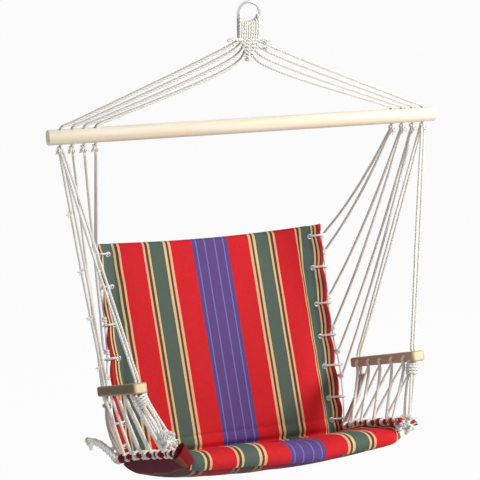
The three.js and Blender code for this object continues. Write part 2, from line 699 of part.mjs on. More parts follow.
const braidRoom = solidOf(neckBraid(CLEARANCE));
for (const side of [-1, 1]) {
  const name = sideName(side);
  for (let hole = 0; hole < BAR_HOLE_COUNT; hole += 1) {
    addPiece(group, `${name}_bridle_${hole + 1}`, geometryOf(bridle(side, hole, braidRoom)), COTTON);
  }

  addPiece(back, `${name}_back_lacing`, geometryOf(backLacing(side, 0)), COTTON);
  BACK_ROPE_DROPS.forEach((drop, k) => {
    const hole = BAR_HOLE_COUNT - 1 - Math.floor(k / 2);
    const up = BACK_LENGTH - drop;
    const end = backPoint(side * (laceX(up) + (LACE + ROPE) / 2 + CLEARANCE), up, 0);
    const start = ropeStart(side, hole, k % 2 ? -1 : 1);
    const knotRoom = solidOf(knotAt(knotCentre(side, hole), KNOT + 2 * CLEARANCE));
    const rope = hangingRope(start, end).subtract(knotRoom);
    addPiece(group, `${name}_back_rope_${k + 1}`, geometryOf(rope), COTTON);
  });

  const sideRope = edgeRope(side, 0).subtract(cornerKnot(side, CLEARANCE));
  addPiece(group, `${name}_seat_edge_rope`, geometryOf(sideRope), COTTON);
  addPiece(group, `${name}_front_corner_knot`, geometryOf(cornerKnot(side, 0)), COTTON);

  const board = addPiece(group, `${name}_armrest`, geometryOf(armBoard()), ARM_WOOD);
  const basis = armBasis(side);
  const right = basis.across.clone().multiplyScalar(side);
  const rearward = basis.along.clone().negate();
  board.quaternion.setFromRotationMatrix(new THREE.Matrix4().makeBasis(right, rearward, basis.up));
  board.position.copy(basis.centre);

  const edgeRoom = edgeRope(side, CLEARANCE);
  const netRoom = edgeRope(side, NET_FOOT_GAP);
  for (let k = 0; k < NET_COUNT; k += 1) {
    addPiece(group, `${name}_net_rope_${k + 1}`, geometryOf(netRope(side, k, netRoom)), COTTON);
  }
  const posts = { rear: ARM_POST_INSET, front: ARM_LENGTH - ARM_POST_INSET };
  const feet = {
    rear: edgeRopePoint(side, SEAT_DEPTH * REAR_TIE_FOOT_SHARE),
    front: cornerKnotCentre(side),
  };
  feet.rear.z += TIE / 2;
  const rooms = { rear: edgeRoom, front: cornerKnot(side, CLEARANCE) };
  const faces = { rear: 1, front: -1 };
  const barKnotRoom = solidOf(knotAt(knotCentre(side, 0), KNOT + 2 * CLEARANCE));
  for (const end of ['rear', 'front']) {
    const tie = armTie(side, posts[end], feet[end]).subtract(rooms[end]);
    addPiece(group, `${name}_${end}_arm_tie`, geometryOf(tie), COTTON);
    const top = armPoint(side, 0, posts[end], ARM_THICKNESS / 2 + ROPE);
    const low = armPoint(side, 0, posts[end], ARM_THICKNESS * POST_LOW_SHARE);
    const knot = armKnotCentre(side, posts[end]);
    const start = ropeStart(side, 0, faces[end]);
    const route = [start, start.clone().lerp(top, POST_STRAIGHT_SHARE), top, low, knot];
    const rope = solidOf(ropeAlong(route, ROPE, 1)).subtract(barKnotRoom);
    const knotRoom = solidOf(knotAt(knot, KNOT + 2 * CLEARANCE));
    addPiece(group, `${name}_${end}_arm_rope`, geometryOf(rope.subtract(knotRoom)), COTTON);
  }
}

export default group;
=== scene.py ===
# %% [markdown]
# # A hammock chair that hangs from one steel ring
# A striped canvas seat and back hang in cotton rope under a wooden spreader bar. Two armrest boards ride on
# the outer ropes, and a net of rope joins each board to the seat. The solid model of the chair is loaded
# first and never changed. Each cell below makes one piece, or one finish, around it. Everything is in
# metres: the origin is the inside top of the ring, the chair faces -Y, and the spreader bar lies along X.

# %% Load the solid model
import math
import bmesh
import bpy
from mathutils import Matrix, Vector, geometry, noise


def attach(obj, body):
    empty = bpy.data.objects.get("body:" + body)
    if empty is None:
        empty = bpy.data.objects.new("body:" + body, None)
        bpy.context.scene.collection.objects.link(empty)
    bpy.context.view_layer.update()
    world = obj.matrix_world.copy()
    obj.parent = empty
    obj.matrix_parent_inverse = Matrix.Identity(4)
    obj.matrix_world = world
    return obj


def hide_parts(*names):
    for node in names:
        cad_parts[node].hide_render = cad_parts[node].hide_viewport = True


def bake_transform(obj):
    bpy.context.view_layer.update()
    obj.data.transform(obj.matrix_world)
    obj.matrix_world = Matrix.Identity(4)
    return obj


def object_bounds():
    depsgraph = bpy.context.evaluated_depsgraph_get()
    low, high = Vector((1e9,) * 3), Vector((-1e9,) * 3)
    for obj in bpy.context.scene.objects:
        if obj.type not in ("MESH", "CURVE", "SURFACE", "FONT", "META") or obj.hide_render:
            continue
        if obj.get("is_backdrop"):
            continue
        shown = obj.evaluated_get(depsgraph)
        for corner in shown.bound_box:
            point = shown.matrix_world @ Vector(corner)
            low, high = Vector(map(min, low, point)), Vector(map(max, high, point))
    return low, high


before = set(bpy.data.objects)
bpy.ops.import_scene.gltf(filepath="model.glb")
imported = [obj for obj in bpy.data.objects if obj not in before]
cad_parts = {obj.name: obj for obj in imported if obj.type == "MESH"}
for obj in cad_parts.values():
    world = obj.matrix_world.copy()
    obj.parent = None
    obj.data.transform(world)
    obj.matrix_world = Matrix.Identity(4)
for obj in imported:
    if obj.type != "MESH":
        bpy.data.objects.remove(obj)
solid_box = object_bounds()
MM = 0.001


def mm(x, y, z):
    """A point given in millimetres."""
    return Vector((x, y, z)) * MM


print("solid model reaches", [[round(v, 3) for v in corner] for corner in solid_box])

# %% [markdown]
# The photograph was taken from a little left of the chair and from above the seat, with a long lens. A
# camera is three facts: where it stands, what it looks at, and its focal length. The focal length is given
# in pixels of the picture, and the lens in millimetres follows from the sensor's width.

# %% Camera
PICTURE_SIDE = 480
FOCAL_PIXELS = 1666


def put(name, data):
    """A new object in the scene."""
    made = bpy.data.objects.new(name, data)
    bpy.context.scene.collection.objects.link(made)
    return made


def aim(thing, target):
    thing.rotation_euler = (target - thing.location).to_track_quat("-Z", "Y").to_euler()


camera_data = bpy.data.cameras.new("camera")
camera_data.lens = camera_data.sensor_width * FOCAL_PIXELS / PICTURE_SIDE
camera = put("camera", camera_data)
camera.location = (-1.3163, -3.5587, 0.3848)
aim(camera, Vector((-0.021, 0, -0.551)))
bpy.context.scene.camera = camera
print("lens", round(camera_data.lens, 1), "mm")

# %% [markdown]
# Every finish is a small graph of nodes. These helpers build such graphs: they add a node, do a sum, mix
# two colours or make a noise, and the last one gives a finish its colour and its fine relief.

# %% Tools for finishes
def fill(tree, socket, value):
    """Sets a socket, or links it where the value is another node's output."""
    if isinstance(value, bpy.types.NodeSocket):
        tree.links.new(value, socket)
    else:
        socket.default_value = value


def add_node(tree, kind, settings=None, **inputs):
    made = tree.nodes.new("ShaderNode" + kind)
    for key, value in (settings or {}).items():
        setattr(made, key, value)
    for key, value in inputs.items():
        fill(tree, made.inputs[key.replace("_", " ")], value)
    return made


def calculate(tree, operation, *terms):
    """Output of one Math node."""
    made = add_node(tree, "Math", {"operation": operation})
    for socket, value in zip(made.inputs, terms):
        fill(tree, socket, value)
    return made.outputs[0]


def colour_mix(tree, share, low, high, kind="MIX"):
    """Output of a colour mix. Low and high are colours or sockets."""
    mix = add_node(tree, "Mix", {"data_type": "RGBA", "blend_type": kind})
    for index, value in ((0, share), (6, low), (7, high)):
        fill(tree, mix.inputs[index], value)
    return mix.outputs[2]


def colour_bands(tree, place, stops, interpolation="LINEAR"):
    """Output of a colour ramp through these stops."""
    made = add_node(tree, "ValToRGB", Fac=place)
    ramp = made.color_ramp
    ramp.interpolation = interpolation
    while len(ramp.elements) < len(stops):
        ramp.elements.new(1)
    for element, (position, colour) in zip(ramp.elements, stops):
        element.position = position
        element.color = colour
    return made.outputs["Color"]


def speckle(tree, place, scale, detail, stretch=None, **more):
    """A noise, in a space that may be stretched first."""
    if stretch:
        place = add_node(tree, "Mapping", Vector=place, Scale=stretch).outputs["Vector"]
    return add_node(tree, "TexNoise", Vector=place, Scale=scale, Detail=detail, **more).outputs["Fac"]


def new_finish(name, roughness, **constants):
    material = bpy.data.materials.new(name)
    material.use_nodes = True
    shader = material.node_tree.nodes["Principled BSDF"]
    shader.inputs["Roughness"].default_value = roughness
    for socket, value in constants.items():
        shader.inputs[socket.replace("_", " ")].default_value = value
    print("finish", name, "with roughness", roughness)
    return material, material.node_tree, shader


def dress(tree, shader, colour, height, strength, distance):
    """Gives a finish its colour, and a relief of this height."""
    fill(tree, shader.inputs["Base Color"], colour)
    bump = add_node(tree, "Bump", Height=height, Strength=strength, Distance=distance)
    fill(tree, shader.inputs["Normal"], bump.outputs[0])


def form_to_mesh(form, name):
    mesh = bpy.data.meshes.new(name)
    form.to_mesh(mesh)
    form.free()
    return mesh

# %% [markdown]
# A chair like this hangs with its seat about 0.4 m above the ground, so the floor is a plain plane that far
# below it. The world and the floor look white to the camera through the Light Path node, and they light the
# chair at a plain level, so that its colours render about as they are written.

# %% Floor, world and lamps
FLOOR_DROP = 1.55
FLOOR_SIZE = 80
FLOOR_GLOW = 0.94  # share of white light where the floor is seen directly
WORLD_STRENGTH = 0.32
WHITE = (1, 1, 1, 1)
LAMP_AIM = Vector((0, 0, -0.7))


def seen_directly(tree):
    """1 where the camera, a mirror or a glass looks, and 0 for light that falls on the chair."""
    rays = add_node(tree, "LightPath").outputs
    seen = rays["Is Camera Ray"]
    for other in ("Is Glossy Ray", "Is Transmission Ray"):
        seen = calculate(tree, "MAXIMUM", seen, rays[other])
    return seen


def show_both(tree, output, share, first, second):
    """The output shows the first shader, and by this share the second one."""
    choice = add_node(tree, "MixShader", Fac=share)
    tree.links.new(first.outputs[0], choice.inputs[1])
    tree.links.new(second.outputs[0], choice.inputs[2])
    tree.links.new(choice.outputs[0], tree.nodes[output].inputs["Surface"])


world = bpy.data.worlds.new("studio")
world.use_nodes = True
bpy.context.scene.world = world
bpy.context.scene.view_settings.view_transform = "Standard"
soft_light = world.node_tree.nodes["Background"]
soft_light.inputs["Color"].default_value = (0.97, 0.98, 1, 1)
soft_light.inputs["Strength"].default_value = WORLD_STRENGTH
white_wall = add_node(world.node_tree, "Background", Color=WHITE, Strength=1.0)
show_both(world.node_tree, "World Output", seen_directly(world.node_tree), soft_light, white_wall)

floor_material, floor_tree, floor_shader = new_finish("pale_floor", 0.9, Base_Color=(0.9, 0.9, 0.9, 1))
glow = add_node(floor_tree, "Emission", Color=WHITE, Strength=1.0)
glow_share = calculate(floor_tree, "MULTIPLY", seen_directly(floor_tree), FLOOR_GLOW)
show_both(floor_tree, "Material Output", glow_share, floor_shader, glow)

floor_form = bmesh.new()
bmesh.ops.create_grid(floor_form, x_segments=1, y_segments=1, size=FLOOR_SIZE / 2)
bmesh.ops.translate(floor_form, verts=floor_form.verts, vec=(0, 0, -FLOOR_DROP))
floor = put("floor", form_to_mesh(floor_form, "floor"))
floor.data.materials.append(floor_material)
floor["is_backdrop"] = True


def add_lamp(name, direction, distance, size, watts, colour):
    data = bpy.data.lights.new(name, "AREA")
    data.shape = "DISK"
    data.size = size
    data.energy = watts
    data.color = colour
    lamp = put(name, data)
    lamp.location = LAMP_AIM + Vector(direction).normalized() * distance
    aim(lamp, LAMP_AIM)


add_lamp("key_lamp", (0.62, -0.62, 0.62), 3.4, 1.1, 104, (1, 0.98, 0.95))
add_lamp("fill_lamp", (-0.3, -0.95, 0.2), 4.0, 2.5, 9, (0.95, 0.97, 1))

# %% [markdown]
# The route of every rope and the shape of the canvas repeat the solid model's sizes, so that each new piece
# lies where its solid is. These few functions hold the places: a point on the back, on the seat or on a
# board.

# %% Places on the chair
FOLD = mm(0, 113, -1105.6)  # line where the back and the seat meet
BACK_LEAN = math.radians(17.9)
SEAT_PITCH = math.radians(20.4)
BOARD_PITCH = math.radians(19.2)
BOARD_TOE = math.radians(1.3)
BACK_LENGTH = 533 * MM
SEAT_DEPTH = 429 * MM
UP_BACK = Vector((0, math.sin(BACK_LEAN), math.cos(BACK_LEAN)))
FRONT_OF_BACK = Vector((0, -math.cos(BACK_LEAN), math.sin(BACK_LEAN)))
ALONG_SEAT = Vector((0, -math.cos(SEAT_PITCH), math.sin(SEAT_PITCH)))
OVER_SEAT = Vector((0, math.sin(SEAT_PITCH), math.cos(SEAT_PITCH)))
OUTWARD = Vector((1, 0, 0))
REARWARD = Vector((0, 1, 0))
UPWARD = Vector((0, 0, 1))
SIDES = {"left": -1, "right": 1}


def lerp(a, b, share):
    return a + (b - a) * share


def clamp(share):
    return min(1, max(0, share))


def eased(share):
    """From 0 to 1 with a soft start and end."""
    return share * share * (3 - 2 * share)


def tent(place, centre, width):
    """1 at the centre, and 0 this far from it."""
    return max(0.0, 1 - abs(place - centre) / width)


def back_half(up):
    share = up / BACK_LENGTH
    return lerp(299, 292, share) * MM - 4 * MM * math.sin(math.pi * clamp(share))


def seat_half(forward):
    share = forward / SEAT_DEPTH
    return lerp(288, 262, share) * MM - 5 * MM * math.sin(math.pi * clamp(share))


def seat_drift(forward):
    """The front of the seat lies a little to the right."""
    return 6 * MM * (forward / SEAT_DEPTH) ** 2


def back_point(x, up, front):
    return FOLD + OUTWARD * x + UP_BACK * up + FRONT_OF_BACK * front


def seat_point(x, forward, over):
    return FOLD + OUTWARD * x + ALONG_SEAT * forward + OVER_SEAT * over


def board_frame(side):
    """Matrix of a board: X across it to the right, Y towards its rear, Z up through it."""
    flat = math.cos(BOARD_PITCH)
    along = Vector((side * math.sin(BOARD_TOE) * flat, -math.cos(BOARD_TOE) * flat, math.sin(BOARD_PITCH)))
    across = Vector((math.cos(BOARD_TOE), side * math.sin(BOARD_TOE), 0))
    over = along.cross(across * side) * side
    centre = mm(side * 333, -61, -864)
    return Matrix.Translation(centre) @ Matrix((across, -along, over)).transposed().to_4x4()


def bar_hole(side, hole):
    return side * (475 - 30 - 27 * hole) * MM


def bar_knot(side, hole):
    return Vector((bar_hole(side, hole), 0, -305.8 * MM))


print("fold line at", [round(v, 3) for v in FOLD])

# %% [markdown]
# Cotton rope is three strands laid together. Each strand is many fine yarns, so up close the rope shows
# streaks that follow its lay and a little fuzz, and shade is painted into the hollows between the strands.
# The rope's mesh carries two attributes for this: how far a point stands out of the hollow, and its place
# round and along the rope. A noise on that second attribute makes the yarns, because its scale along the rope
# is stretched.

# %% Cotton rope finish
def cotton_finish(name, crown_colour, hollow_shade_colour):
    soft = {"Sheen_Weight": 0.25, "Sheen_Roughness": 0.6, "Specular_IOR_Level": 0.2}
    material, tree, shader = new_finish(name, 0.9, **soft)
    crown = add_node(tree, "Attribute", {"attribute_name": "crown"}).outputs["Fac"]
    lay = add_node(tree, "Attribute", {"attribute_name": "lay"}).outputs["Vector"]
    yarn = speckle(tree, lay, 2200.0, 2.0)
    place = add_node(tree, "TexCoord").outputs["Object"]
    dirt = speckle(tree, place, 35.0, 4.0)
    streaks = calculate(tree, "MULTIPLY_ADD", yarn, 0.7, 0.55)
    # Painted shade: points in the hollows between strands take the darker hollow shade colour.
    shade = calculate(tree, "MULTIPLY", calculate(tree, "POWER", crown, 0.4), streaks)
    tint = colour_mix(tree, dirt, (0.93, 0.91, 0.86, 1), WHITE)
    colour = colour_mix(tree, 1.0, colour_mix(tree, shade, hollow_shade_colour, crown_colour), tint, "MULTIPLY")
    fuzz = calculate(tree, "MULTIPLY", speckle(tree, place, 1800.0, 2.0), 0.6)
    dress(tree, shader, colour, calculate(tree, "ADD", yarn, fuzz), 0.55, 0.0004)
    return material


# All three finishes paint shade into the hollows between strands. This one paints the least, so the loose
# yarns, the nets and the tail look paler than the plain white ropes.
light_shade_cotton = cotton_finish("cotton_light_hollow_shade", (0.98, 0.975, 0.95, 1), (0.86, 0.84, 0.79, 1))
cotton = cotton_finish("white_cotton", (0.98, 0.975, 0.95, 1), (0.68, 0.66, 0.6, 1))
# Painted shade: the bundles under the boards' rear ends are darkened and browned all over, with deep painted
# shade in their hollows.
shaded_bundle_cotton = cotton_finish("shaded_cotton", (0.74, 0.65, 0.57, 1), (0.3, 0.22, 0.17, 1))

# %% [markdown]
# A rope is a curve with a cross-section swept along it. The section has three round lobes, one for each
# strand, and it turns a little at each step, so that the lobes wind round the rope. The path passes
# smoothly through the given points of its route. The curve then becomes a mesh, and gets its two
# attributes.

# %% Rope maker
ROPE = 7 * MM
LOBE_COUNT = 3
LOBE_STEPS = 5
HOLLOW_SHARE = 0.62  # radius in the hollow between two strands, as a share of the full radius
LAY_STRETCH = 0.12  # the yarns' noise is this much slower along the rope


def mm_points(*points):
    return [mm(*point) for point in points]


def final_mesh(made):
    """Mesh of an object as its section or its modifiers leave it."""
    bpy.context.view_layer.update()
    return bpy.data.meshes.new_from_object(made.evaluated_get(bpy.context.evaluated_depsgraph_get()))


def rope_section():
    """Outline of three strands, one unit in radius, and how far each point stands out of the hollow."""
    data = bpy.data.curves.new("rope_section", "CURVE")
    data.dimensions = "2D"
    spline = data.splines.new("POLY")
    count = LOBE_COUNT * LOBE_STEPS
    spline.points.add(count - 1)
    spline.use_cyclic_u = True
    stands_out = []
    for k in range(count):
        bulge = math.cos(math.pi * (k % LOBE_STEPS / LOBE_STEPS - 0.5)) ** 0.6 if k % LOBE_STEPS else 0
        radius = lerp(HOLLOW_SHARE, 1, bulge)
        turn = 2 * math.pi * k / count
        spline.points[k].co = (radius * math.cos(turn), radius * math.sin(turn), 0, 1)
        stands_out.append(bulge)
    return put("rope_section", data), stands_out


def handle(outer, span, ahead, behind, here):
    """Handle of a centripetal curve at one of its points."""
    own_share = 2 * outer**2 + 3 * outer * span + span**2
    return (outer**2 * ahead - span**2 * behind + own_share * here) / (3 * outer * (outer + span))


def smooth_path(points, spacing, closed=False):
    """Evenly spaced points on a centripetal curve through the given ones."""
    points = [Vector(p) for p in points]
    if closed:
        line = [points[-1], *points, points[0], points[1]]
    else:
        line = [2 * points[0] - points[1], *points, 2 * points[-1] - points[-2]]
    fine = []
    for a, b, c, d in zip(line, line[1:], line[2:], line[3:]):
        before, span, after = (math.sqrt((q - p).length) for p, q in ((a, b), (b, c), (c, d)))
        near, far = handle(before, span, c, a, b), handle(after, span, b, d, c)
        steps = max(4, math.ceil((c - b).length / spacing) * 3)
        fine += geometry.interpolate_bezier(b, near, far, c, steps)[:-1]
    fine.append(fine[0] if closed else points[-1])
    reach = [0]
    for p, q in zip(fine, fine[1:]):
        reach.append(reach[-1] + (q - p).length)
    count = max(3, round(reach[-1] / spacing))
    even, k = [], 0
    for n in range(count if closed else count + 1):
        goal = reach[-1] * n / count
        while k < len(fine) - 2 and reach[k + 1] < goal:
            k += 1
        even.append(fine[k].lerp(fine[k + 1], (goal - reach[k]) / max(1e-9, reach[k + 1] - reach[k])))
    return even


def rope_form(routes, diameter=ROPE, lay=None, closed=False):
    """Mesh of ropes along these routes. The lay is the length of one turn of the strands."""
    lay = lay or 3.2 * diameter
    section, stands_out = rope_section()
    data = bpy.data.curves.new("rope_line", "CURVE")
    data.dimensions = "3D"
    data.bevel_mode = "OBJECT"
    data.bevel_object = section
    data.use_fill_caps = True
    data.twist_mode = "MINIMUM"
    steps_along = []
    for number, route in enumerate(routes):
        path = smooth_path(route, lay / 8, closed)
        spline = data.splines.new("POLY")
        spline.points.add(len(path) - 1)
        spline.use_cyclic_u = closed
        step = (path[1] - path[0]).length
        turns = step * (len(path) - 1) / lay
        if closed:
            turns = round(turns * LOBE_COUNT) / LOBE_COUNT
        for k, place in enumerate(path):
            share = k / (len(path) - (0 if closed else 1))
            spline.points[k].co = (*place, 1)
            spline.points[k].tilt = 2 * math.pi * (turns * share) + number
            spline.points[k].radius = diameter / 2
        steps_along += [(k * step, number) for k in range(len(path))]
    line = put("rope_line", data)
    mesh = final_mesh(line)
    around = len(stands_out)
    crown = mesh.attributes.new("crown", "FLOAT", "POINT")
    place = mesh.attributes.new("lay", "FLOAT_VECTOR", "POINT")
    for index in range(len(mesh.vertices)):
        along, number = steps_along[min(index // around, len(steps_along) - 1)]
        turn = 2 * math.pi * (index % around) / around
        crown.data[index].value = stands_out[index % around]
        place.data[index].vector = (
            diameter / 2 * math.cos(turn) + number,
            diameter / 2 * math.sin(turn),
            along * LAY_STRETCH,
        )
    for made in (line, section):
        source = made.data
        bpy.data.objects.remove(made)
        bpy.data.curves.remove(source)
    return mesh


def tidy_form(form):
    bmesh.ops.remove_doubles(form, verts=form.verts, dist=1e-6)
    bmesh.ops.recalc_face_normals(form, faces=form.faces)
    if form.calc_volume(signed=True) < 0:
        bmesh.ops.reverse_faces(form, faces=form.faces)


def add_piece(name, mesh, body=None, node=None, finish=cotton):
    """Puts a finished mesh into the scene, on its body and in place of its solid."""
    mesh.name = name
    mesh.materials.clear()
    mesh.materials.append(finish)
    mesh.polygons.foreach_set("use_smooth", [True] * len(mesh.polygons))
    piece = put(name, mesh)
    if body:
        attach(piece, body)
    if node:
        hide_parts(node)
    print(name, "has", len(mesh.polygons), "faces")
    return piece


def joined(meshes, name):
    """One mesh of several, with their attributes kept."""
    parts = [put(f"{name}_part_{k}", mesh) for k, mesh in enumerate(meshes)]
    with bpy.context.temp_override(active_object=parts[0], selected_editable_objects=parts, object=parts[0]):
        bpy.ops.object.join()
    mesh = parts[0].data
    bpy.data.objects.remove(parts[0])
    return mesh

# %% [markdown]
# Cut ends, windings and knots are routes too. Loose yarns leave a cut end together, then they spread and
# droop. A winding is a tight helix that is a little wider at its middle. An overhand knot is a closed
# curve.

# %% Routes of loose yarns, windings and knots
def ring_place(across, other, turn):
    return across * math.cos(turn) + other * math.sin(turn)


def fray_routes(root, way, length, flare, count, droop=0.2):
    """Routes of the loose yarns at a cut end."""
    root, along = Vector(root), Vector(way).normalized()
    across = along.orthogonal().normalized()
    other = along.cross(across)
    routes = []
    for k in range(count):
        out = ring_place(across, other, 2.4 * k) * flare * math.sqrt((k + 0.5) / count)
        reach = length * (0.8 + 0.2 * math.sin(5.3 * k))
        fall = Vector((0, 0, -droop * reach * (0.5 + 0.5 * math.sin(3.1 * k))))
        curl = across * 0.12 * reach * math.sin(1.7 * k)
        middle = root + along * reach * 0.5 + out * 0.8 + curl
        routes.append([root + out * 0.3, middle, root + along * reach + out + fall])
    return routes


def coil_route(top, foot, radius, turns):
    """A rope wound tightly round others, from top to foot."""
    steps = round(turns * 12)
    axis = (foot - top).normalized()
    across = axis.orthogonal().normalized()
    other = axis.cross(across)
    route = []
    for k in range(steps + 1):
        share = k / steps
        wide = radius * (0.82 + 0.18 * math.sin(math.pi * share))
        route.append(top.lerp(foot, share) + ring_place(across, other, 2 * math.pi * turns * share) * wide)
    return route


def knot_route(centre, size, axis=UPWARD, rope=ROPE):
    """Closed route of an overhand knot, pulled tight round the axis."""
    reach = (size - rope) / 2
    turn = UPWARD.rotation_difference(axis).to_matrix()
    route = []
    for k in range(24):
        t = 2 * math.pi * k / 24
        x, y = math.sin(t) + 2 * math.sin(2 * t), math.cos(t) - 2 * math.cos(2 * t)
        route.append(Vector(centre) + turn @ Vector((x, y, -1.3 * math.sin(3 * t))) * (reach / 3))
    return route


print("a strand has", LOBE_STEPS, "points round it, and a rope", LOBE_COUNT, "strands")

# %% [markdown]
# A short stiff tail of thicker rope sticks out of the seat's rear left corner. It is the end of the rope
# along the seat's side, bound at its root and fluffed out at its cut end. It is a cord of its own, and its
# route repeats the points of its solid.

# %% Rope tail at the rear left corner
TAIL = 15 * MM
TAIL_OVER_STRANDS = TAIL + 4 * MM
YARN = 3.4 * MM
YARN_LAY = 20 * MM
tail_route = mm_points((-293, 98, -1103), (-308, 100, -1089), (-325, 102, -1070))
tail_route += mm_points((-342, 104, -1054), (-358, 104, -1046), (-374, 103, -1043))
tail_path = smooth_path(tail_route, 2 * MM)
tail_mesh = rope_form([tail_route], TAIL_OVER_STRANDS, lay=36 * MM)
tail = add_piece("left_tail", tail_mesh, "chair", "left_rope_tail", light_shade_cotton)
tail_tip = tail_route[-1] + mm(12, 0, 0)
frayed = rope_form(fray_routes(tail_tip, (-1, 0.05, -0.5), 11 * MM, 15 * MM, 46, 0.9), YARN, YARN_LAY)
binding = rope_form([coil_route(tail_route[0].lerp(tail_route[1], 0.1), tail_route[1], 9.5 * MM, 3)], 6 * MM)
tail_end = add_piece("left_tail_yarns", joined([frayed, binding], "yarns"), "chair", finish=light_shade_cotton)

# %% [markdown]
# The ring is round steel rod, bent and welded. A spin of a small circle makes it, and a fine noise stands
# for the drawing marks of the bright steel.

# %% Steel ring
RING_MID = 25.5 * MM  # from the ring's centre to the middle of its wire
RING_CENTRE = mm(0, 0, -22.5)
RING_WIRE = 6 * MM

steel, tree, shader = new_finish("bright_steel", 0.3, Metallic=1.0)
steel_place = add_node(tree, "TexCoord").outputs["Object"]
marks = speckle(tree, steel_place, 900.0, 4.0)
patches = speckle(tree, steel_place, 60.0, 3.0)
steel_colour = colour_mix(tree, patches, (0.42, 0.43, 0.44, 1), (0.72, 0.73, 0.74, 1))
fill(tree, shader.inputs["Roughness"], calculate(tree, "MULTIPLY_ADD", marks, 0.2, 0.2))
dress(tree, shader, steel_colour, marks, 0.15, 0.0002)


def ring_form(centre, mid_radius, wire, steps=64, sides=16, squash=1.0):
    form = bmesh.new()
    bmesh.ops.create_circle(form, segments=sides, radius=wire / 2)
    bmesh.ops.scale(form, verts=form.verts, vec=(1, squash, 1))
    bmesh.ops.translate(form, verts=form.verts, vec=(mid_radius, 0, 0))
    bmesh.ops.spin(
        form,
        geom=form.verts[:] + form.edges[:],
        cent=(0, 0, 0),
        axis=REARWARD,
        angle=2 * math.pi,
        steps=steps,
        use_merge=True,
    )
    tidy_form(form)
    bmesh.ops.translate(form, verts=form.verts, vec=centre)
    return form


ring_mesh = form_to_mesh(ring_form(RING_CENTRE, RING_MID, RING_WIRE), "steel_ring")
add_piece("steel_ring", ring_mesh, "hook_ring", "hanging_ring", steel)

# %% [markdown]
# Nine ropes are doubled over the ring, side by side. Both legs of each run down into the neck. The loops
# rock on the ring while the neck stays with the chair.

# %% Loops over the ring
COLUMN_PITCH = 5.6 * MM
COLUMN_COUNT = 9
NECK_TOP = 66 * MM
NECK_FOOT = 78.2 * MM
LEG_Y = 6.4 * MM  # the two legs of a rope hang this far before and behind the ring's middle


def column_x(column):
    return column * COLUMN_PITCH - 1 * MM


def ring_loop_route(column):
    x = column_x(column)
    rise = math.sqrt(RING_MID**2 - x * x)
    low = RING_CENTRE.z - rise
    over = RING_WIRE / 2 * RING_MID / rise + ROPE / 2
    half_way = (low - NECK_TOP) / 2
    wander = 0.7 * MM * math.sin(2.3 * column)
    route = [(x, -LEG_Y + 1 * MM, -NECK_TOP), (x + wander, -LEG_Y, half_way), (x, -LEG_Y, low)]
    for degrees in (45, 90, 135):
        turn = math.radians(degrees)
        route.append((x, -LEG_Y * math.cos(turn), low + over * math.sin(turn)))
    return route + [(x, LEG_Y, low), (x - wander, LEG_Y, half_way), (x, LEG_Y - 1 * MM, -NECK_TOP)]


columns = range(-(COLUMN_COUNT // 2), COLUMN_COUNT // 2 + 1)
loops = add_piece("rope_loops", rope_form([ring_loop_route(c) for c in columns]), None, "ring_loops")
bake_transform(loops)

# %% [markdown]
# The neck is the same ropes, bound into one flat bundle. A woven neck has binding cords that pass across
# the ropes, over one and under the next. It grows narrower as the ropes leave it, the outer ones first.
# Three cut ends of rope stick out of the weave.

# %% Bound neck
BRAID_TOP = 78.3 * MM
BRAID_LENGTH = 54 * MM
WEFT = 4.6 * MM
WEFT_POINTS = 28
# Each binding cord's drop and half width, in mm
WEFT_LEVELS = [(82, 24), (89, 21), (96.5, 16.5), (104, 14), (112, 11), (120, 8.5), (128, 6)]
CUT_ROPE = 8 * MM
CUT_ENDS = (
    ((-18, -4, -82), (-32, -7, -80), (-43, -9, -79), (-54, -9, -82)),
    ((16, -4, -88), (28, -7, -86), (38, -9, -84), (47, -10, -86)),
    ((12, -4, -100), (26, -7, -99), (37, -8, -99), (47, -8, -102)),
)


def bundle_route(column, face, top, foot):
    places = (LEG_Y - 1 * MM, top), (4.6 * MM, (top + foot) / 2), (4 * MM, foot)
    return [(column_x(column), face * y, z) for y, z in places]


def weft_route(drop, half):
    """Binding cord that goes once round the ropes, in and out between them."""
    route = []
    for k in range(WEFT_POINTS):
        turn = 2 * math.pi * k / WEFT_POINTS
        x = half * MM * math.copysign(abs(math.cos(turn)) ** 0.8, math.cos(turn)) - 1 * MM
        y = 7.6 * MM * math.copysign(abs(math.sin(turn)) ** 0.6, math.sin(turn))
        lift = 1.6 * MM * math.sin(math.pi * x / COLUMN_PITCH)
        route.append((x, y, -drop * MM + lift))
    return route


bundle_ends = -NECK_TOP - 0.2 * MM, -NECK_FOOT + 0.2 * MM
bundle = [bundle_route(c, face, *bundle_ends) for c in columns for face in (-1, 1)]
add_piece("neck_ropes", rope_form(bundle), "neck", "neck_bundle")
weft = rope_form([weft_route(*level) for level in WEFT_LEVELS], WEFT, closed=True)
core = rope_form([bundle_route(0, face, -BRAID_TOP, -BRAID_TOP - BRAID_LENGTH) for face in (-1, 1)])
cut_ends = rope_form([mm_points(*points) for points in CUT_ENDS], CUT_ROPE)
add_piece("neck_weave", joined([weft, core, cut_ends], "weave"), "spreader", "neck_braid")
